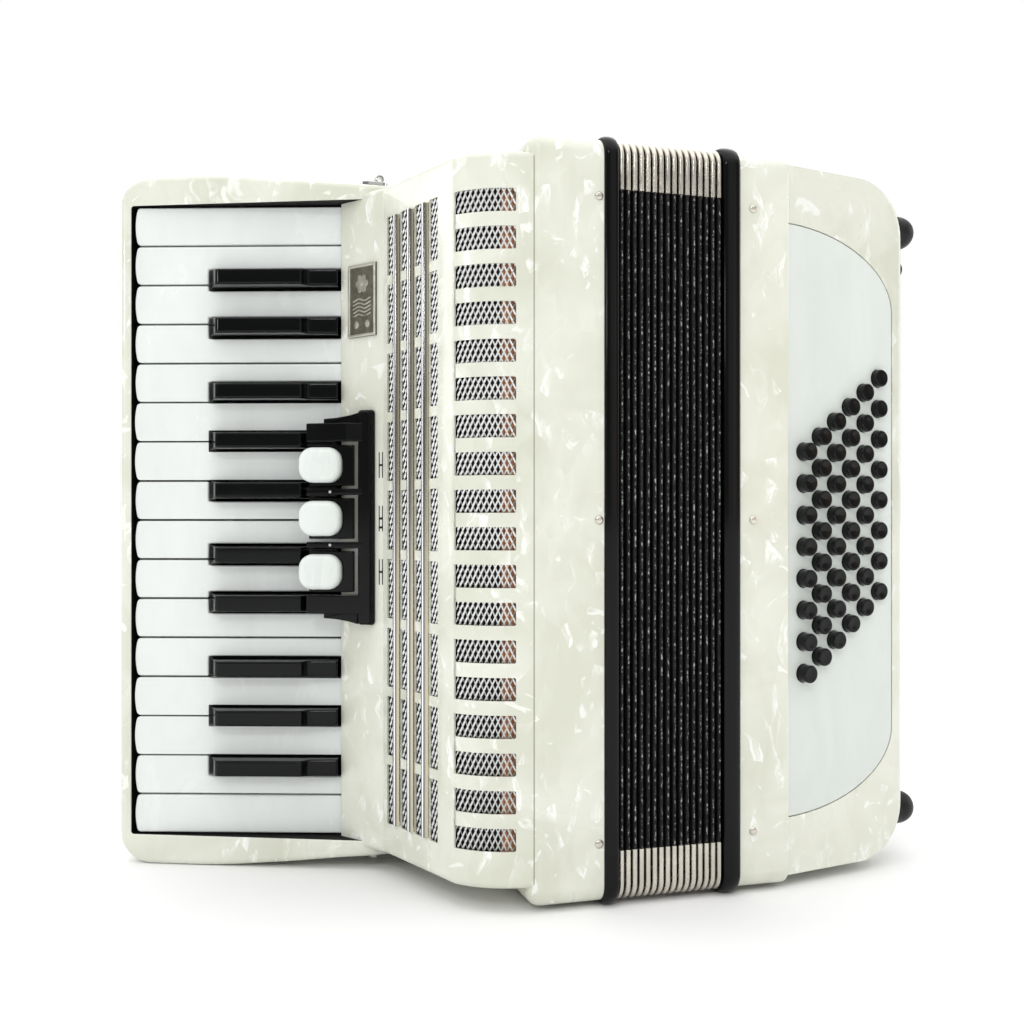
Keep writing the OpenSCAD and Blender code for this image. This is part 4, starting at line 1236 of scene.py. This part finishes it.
def board_outline(grow=0.0, start=0.75):
    """A D shape: quarter ellipses down to a straight outer edge."""
    flat, rise = BOARD_FLAT_H / 2, (BOARD_H - BOARD_FLAT_H) / 2
    upper = [((BOARD_W + grow) * sin(t), flat + (rise + grow) * cos(t))
             for t in (pi / 2 * i / 20 for i in range(21))]
    upper = [(max(s, start), h) for s, h in upper]
    lower = [(s, -h) for s, h in reversed(upper)]
    return [Vector((s, MID_Z + h)) for s, h in reversed(upper + lower)]


def wheel_at():
    lo, hi = work_box("strap_wheel")
    return Vector(((lo.x + hi.x) / 2, (lo.y + hi.y) / 2)), (hi.x - lo.x) / 2


def bass_cover():
    rings = [bass_loop(z, d) for z, d in rim_levels(COVER[0].z, COVER[1].z, 25, 25, 14)]
    cover = piece("bass_cover", [(loft(rings), PEARL)], "bass_side", "bass_cover")
    wheel, wheel_r = wheel_at()
    recess = slab(board_outline(0.45, -3), -8, 1.6, lambda s, z, d: board_place(s, z, d))
    slot_box = loft([[at(x, y, z) for x, y in rectangle((X_OUT - 9, X_OUT + 4), (
        wheel.y - wheel_r - 0.6, wheel.y + wheel_r + 0.6))] for z in WHEEL_SLOT])
    air = work_box("air_button")
    air_y, air_z = (air[0].y + air[1].y) / 2, (air[0].z + air[1].z) / 2
    hole = lathe([(4, -14), (4, 4)], lambda a, b, h: at(X_OUT + h, air_y + a, air_z + b))
    bores = button_bores()
    carve(cover, [recess, slot_box, hole, bores])
    board = slab(board_outline(0, 0.75), 0.1, 2.4, lambda s, z, d: board_place(s, z, d),
                 0.35, 0)
    carve(piece("button_board", [(board, BOARD)], "bass_side", "button_board"),
          [bores])


def row_places(row):
    """Where the eight buttons of a bass row stand on the board: s and z."""
    pitch, step, first = 14.46, 9.34, 11.1
    lift = -1.4 + (row - 3.5) * pitch / 2
    return [(first + (row - 1) * step, MID_Z + lift + (i - 3.5) * pitch) for i in range(8)]


def merged(shapes):
    """Closed shapes that stand apart, as one shape."""
    points, faces = [], []
    for some_points, some_faces in shapes:
        shift = len(points)
        points += some_points
        faces += [tuple(i + shift for i in face) for face in some_faces]
    return points, faces


def button_bores():
    """Round bores that the bass buttons run in, through the board and on into the cover."""
    r = BUTTON_R + BUTTON_FIT
    return merged([lathe([(r, -6), (r, 9)],
                         lambda a, b, h, s=s, z=z: board_place(s + a, z + b, h))
                   for row in range(1, 7) for s, z in row_places(row)])


def button_profile(r, out, back=-2.0):
    """A plain cylinder with a rounded rim and a faint dish in its top."""
    rim = [(r - 0.9 + 0.9 * cos(t), out - 0.7 + 0.7 * sin(t)) for t in
           (pi / 2 * i / 5 for i in range(6))]
    return [(0, back), (r, back)] + rim + [(0.5 * r, out - 0.12), (0.02, out - 0.2)]


def buttons():
    for row in range(1, 7):
        profile = button_profile(BUTTON_R, 5.2 - 0.44 * (row - 1))
        shapes = []
        for s, z in row_places(row):
            shapes.append((lathe(profile, lambda a, b, h: board_place(s + a, z + b, -h)), BUTTON))
        name = f"bass_row_{row}"
        piece(name, shapes, name, name, sharp=50)


def air_button():
    air = work_box("air_button")
    y, z = (air[0].y + air[1].y) / 2, (air[0].z + air[1].z) / 2
    shape = lathe(button_profile(3.6, air[1].x - X_OUT - 2.4, -5.5),
                  lambda a, b, h: at(X_OUT + h, y + a, z + b))
    piece("air_button", [(shape, BUTTON)], "air_button", "air_button", sharp=50)


def feet():
    """Four rubber feet, each with a screw's hollow in its domed top."""
    lo, hi = work_box("rubber_feet")
    r, height, base, dome_h = 9, hi.x - X_OUT, -7, 9
    dome = [(r * 0.91 * cos(t) ** 0.8 if t < 1.5 else 1.6, height - dome_h * (1 - sin(t)))
            for t in (pi / 2 * i / 9 for i in range(10))]
    profile = [(0, base), (r * 0.97, base), (r * 0.97, 2.2), (r * 0.94, 3.2)] + dome
    profile += [(1.5, height - 0.8), (0, height - 0.8)]
    parts = []
    for fy in (lo.y + r, hi.y - r):
        for fz in (lo.z + r, hi.z - r):
            parts.append((lathe(profile, lambda a, b, h, fy=fy, fz=fz:
                                at(X_OUT + h, fy + a, fz + b), 32), RUBBER))
    piece("rubber_feet", parts, "bass_side", "rubber_feet")


def strap_wheel():
    """The strap's thumb wheel, milled round its rim, on a spindle."""
    wheel, wheel_r = wheel_at()
    lo, hi = work_box("strap_wheel")
    ridges, rings = 40, []
    for h, d in rim_levels(*WHEEL_Z, 0.8, 0.8):
        rings.append([at(wheel.x + (wheel_r - d - 0.35 * (k % 2)) * cos(pi * k / ridges),
                         wheel.y + (wheel_r - d - 0.35 * (k % 2)) * sin(pi * k / ridges), h)
                      for k in range(2 * ridges)])
    spindle = lathe([(0, lo.z), (1.5, lo.z), (1.5, hi.z), (0, hi.z)],
                    lambda a, b, h: at(wheel.x + a, wheel.y + b, h))
    piece("strap_wheel", [(loft(rings), STEEL), (spindle, STEEL)], "strap_wheel",
          "strap_wheel")


def strap_path():
    """The strap's line in x and z, from the lower end to the upper."""
    lo, hi = work_box("hand_strap")
    out, z0, z1 = hi.x - 1.5, lo.z, hi.z
    path = [(X_OUT + 1.2, z0), (X_OUT + 1.2, z0 + 16), (out, z0 + 70), (out, z1 - 70),
            (X_OUT + 1.2, z1 - 16), (X_OUT + 1.2, z1)]
    return rounded(path, [0, 30, 60, 60, 30, 0], closed=False, steps=8)


def strap():
    """A flat leather band with stitched edges."""
    lo, hi = work_box("hand_strap")
    route = strap_path()
    frames = []
    for i, p in enumerate(route):
        ahead = (route[min(i + 1, len(route) - 1)] - route[max(i - 1, 0)]).normalized()
        frames.append((at(p.x, (lo.y + hi.y) / 2, p.y), Vector((0, 1, 0)) * MM,
                       Vector((ahead.y, 0, -ahead.x)) * MM))
    half = (hi.y - lo.y) / 2
    section = []
    for p in rounded(rectangle((-half, half), (-1.3, 1.3)), 1.0, steps=4):
        if abs(p.x) < half - 1.5:
            continue
        section.append((p.x, p.y))
    crown = [(half - 7, 1.25), (half - 10, 1.5), (0, 1.5), (10 - half, 1.5), (7 - half, 1.25)]
    upper = [q for q in section if q[1] > 0 and q[0] > 0] + crown \
        + [q for q in section if q[1] > 0 and q[0] < 0]
    lower = [q for q in section if q[1] <= 0 and q[0] < 0] \
        + [q for q in section if q[1] <= 0 and q[0] > 0]
    band = sweep(frames, lower + upper)
    piece("hand_strap", [(band, LEATHER)] + stitches((lo.y + hi.y) / 2, half), "bass_side",
          "hand_strap")


def stitches(middle_y, half):
    """Two rows of thread along the strap, each stitch thicker in its middle."""
    shapes, route = [], Path(strap_path())
    from_end, from_edge, long, step = 22.0, 4, 2.4, 3.8
    for side in (-1, 1):
        s = from_end
        while s < route.length - from_end:
            ends = [route.at(s), route.at(s + long)]
            ahead = (ends[1] - ends[0]).normalized()
            up, y = Vector((ahead.y, -ahead.x)), middle_y + side * (half - from_edge)
            ring = []
            for share, size in ((0, 0.12), (0.15, 0.32), (0.5, 0.36), (0.85, 0.32), (1, 0.12)):
                p = ends[0].lerp(ends[1], share) + up * 1.28
                ring.append([at(p.x + up.x * size * sin(t), y + size * cos(t),
                                p.y + up.y * size * sin(t))
                             for t in (pi / 3 * k for k in range(6))])
            shapes.append((loft(ring), THREAD))
            s += step
    return shapes


def strap_plates():
    """A nickel plate with two screws over each end of the strap."""
    lo, hi = work_box("hand_strap")
    plates = []
    for z0, z1 in ((lo.z - 3, lo.z + 13), (hi.z - 13, hi.z + 3)):
        outline = rounded(rectangle((lo.y - 2, hi.y + 2), (z0, z1)), 3, steps=5)
        plates.append((slab(outline, -0.4, 3.9, lambda y, z, h: at(X_OUT + h, y, z), 0, 0.7),
                       NICKEL))
        for y in (lo.y + 6, hi.y - 6):
            plates.append((lathe([(0, 3.6), (2.6, 3.6), (2.4, 4.4), (1.6, 4.9), (0.1, 5.1)],
                                 lambda a, b, h, y=y, z=(z0 + z1) / 2:
                                 at(X_OUT + h, y + a, z + b), 16), STEEL))
    piece("strap_plates", plates, "bass_side")


# ---- strap brackets ----

def brackets():
    """The chromed bracket for a shoulder strap on the upper end, and the stud below."""
    lo, hi = work_box("strap_brackets")
    middle, half_x, half_y = Vector(((lo.x + hi.x) / 2, (lo.y + hi.y) / 2)), 6.5, 4.5
    base_z = OVERALL_H - 5.4
    outline = rounded(rectangle((middle.x - half_x, middle.x + half_x),
                                (middle.y - half_y, middle.y + half_y)), 3.6, steps=6)
    parts = [(slab(outline, base_z - 0.5, base_z + 1.2, lambda x, y, z: at(x, y, z), 0, 0.4),
              CHROME)]
    dome = [(2.3 * cos(t), 1.15 + 1.5 * sin(t)) for t in (pi / 2 * i / 6 for i in range(7))]
    parts.append((lathe([(0, 0.8), (2.3, 0.8)] + dome, lambda a, b, h: at(
        middle.x - 3.4 + a, middle.y + b, base_z + h), 20), CHROME))
    ring = []
    for i in range(20):
        t = 2 * pi * i / 20
        centre = Vector((middle.x + 2.6 + 1.7 * cos(t), base_z + 2.9 + 1.7 * sin(t)))
        ring.append((at(centre.x, middle.y, centre.y), Vector((0, 1, 0)) * MM,
                     Vector((cos(t), 0, sin(t))) * MM))
    section = [(2.9 * cos(a), 0.5 * sin(a)) for a in (pi / 5 * k for k in range(10))]
    rings = [[p + y * a + out * b for a, b in section] for p, y, out in ring]
    parts.append((loft(rings, around=True), CHROME))
    below = OVERALL_H - base_z
    parts.append((lathe([(0, 0.8), (2.5, 0.8)] + [(r * 1.08, h) for r, h in dome],
                        lambda a, b, h: at(middle.x + a, middle.y + b, below + 0.9 - h), 20),
                  CHROME))
    piece("strap_brackets", parts, "treble_side", "strap_brackets")


# ---- what stays of the CAD ----

def carried_over():
    for name, material in (("treble_soundboard", SPRUCE), ("bass_soundboard", SPRUCE),
                           ("treble_reed_blocks", SPRUCE), ("bass_reed_blocks", SPRUCE),
                           ("key_rod", STEEL)):
        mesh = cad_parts[name].data
        mesh.materials.clear()
        mesh.materials.append(material)


# ---- stage ----

PANELS = (
    ((0, 0, 1), 25, 70, (1.5, 1.5, 1.5)),
    ((-0.79, 0.6, 0.25), 8, 22, (2.4, 2.4, 2.4)),
    ((0.97, -0.05, 0.25), 8, 20, (1.8, 1.8, 1.8)),
    ((-0.49, -0.87, 0), 20, 45, (-0.22, -0.22, -0.22)),
    ((0.85, -0.52, 0), 15, 30, (-0.20, -0.20, -0.20)),
    ((0.29, -0.95, 0.25), 6, 30, (0.5, 0.5, 0.5)),
    ((0.64, -0.77, 0), 5, 20, (0.55, 0.36, 0.2)),
    ((0.3, 0.95, 0.2), 20, 60, (0.7, 0.7, 0.7)),
)
ROOM = 0.32


def studio():
    """White to the camera. To the surfaces, a dim room with panels of light: the direction of
    each, the angles at which it is full and has faded out, and its colour."""
    world = bpy.data.worlds.new("studio")
    world.use_nodes = True
    tree = Nodes(world.node_tree)
    towards = tree.add("ShaderNodeTexCoord").outputs["Generated"]
    light = (ROOM, ROOM, ROOM)
    for direction, full, faded, colour in PANELS:
        facing = tree.vectors("DOT_PRODUCT", towards, Vector(direction).normalized(),
                              out="Value")
        share = tree.add("ShaderNodeMapRange", {"interpolation_type": "SMOOTHSTEP"},
                         Value=facing, From_Min=cos(radians(faded)),
                         From_Max=cos(radians(full)))
        light = tree.mix(share.outputs[0], light, colour, "ADD")
    seen = tree.add("ShaderNodeLightPath").outputs["Is Camera Ray"]
    tree.put(tree.nodes["Background"].inputs["Color"], tree.mix(seen, light, (1.0, 1.0, 1.0)))
    bpy.context.scene.world = world


def stage():
    """A plain pale floor, soft light from all round, and the camera."""
    look = Look("floor", IOR=1.4)
    cloud = look.noise(3, 2)
    material = look.paint(Base_Color=look.ramp(cloud, (0.3, 0.86), (0.7, 0.90)),
                          Roughness=look.ramp(cloud, (0.3, 0.7), (0.7, 0.8)))
    bm = bmesh.new()
    bmesh.ops.create_circle(bm, cap_ends=True, segments=96, radius=40)
    mesh = bpy.data.meshes.new("floor")
    bm.to_mesh(mesh)
    bm.free()
    mesh.materials.append(material)
    floor = bpy.data.objects.new("floor", mesh)
    bpy.context.scene.collection.objects.link(floor)

    studio()
    bpy.context.scene.view_settings.view_transform = "Standard"
    for name, place, aim, size, power in (
            ("key_light", (-0.7, -1.3, 1.0), (0, 0, 0.15), 0.16, 3.2),
            ("side_light", (-1.3, -0.5, 0.5), (0, 0, 0.15), 0.14, 1.6),
            ("rim_light", (0.5, 1.2, 1.2), (0, 0, 0.2), 1.0, 2)):
        light = bpy.data.lights.new(name, "AREA")
        light.size, light.energy = size, power
        lamp = bpy.data.objects.new(name, light)
        lamp.location = place
        lamp.rotation_euler = (Vector(aim) - Vector(place)).to_track_quat("-Z", "Y").to_euler()
        bpy.context.scene.collection.objects.link(lamp)

    camera = bpy.data.cameras.new("camera")
    camera.sensor_width, camera.lens, camera.shift_y = 36, 42.19, 0.0078
    camera.clip_start, camera.clip_end = 0.01, 200
    view = bpy.data.objects.new("camera", camera)
    view.location = at(-154.5, -479.2, OVERALL_H / 2)
    view.rotation_euler = (radians(90), 0, radians(-17))
    bpy.context.scene.collection.objects.link(view)
    bpy.context.scene.camera = view


casings()
rims()
screws()
bellows()
grille()
bars()
badge()
keyboard_body()
for number in range(WHITE_KEYS):
    white_key(number)
for number in range(len(BLACK_AT)):
    black_key(number)
registers()
bass_cover()
buttons()
air_button()
feet()
strap_wheel()
strap()
strap_plates()
brackets()
carried_over()
stage()

bpy.context.view_layer.update()
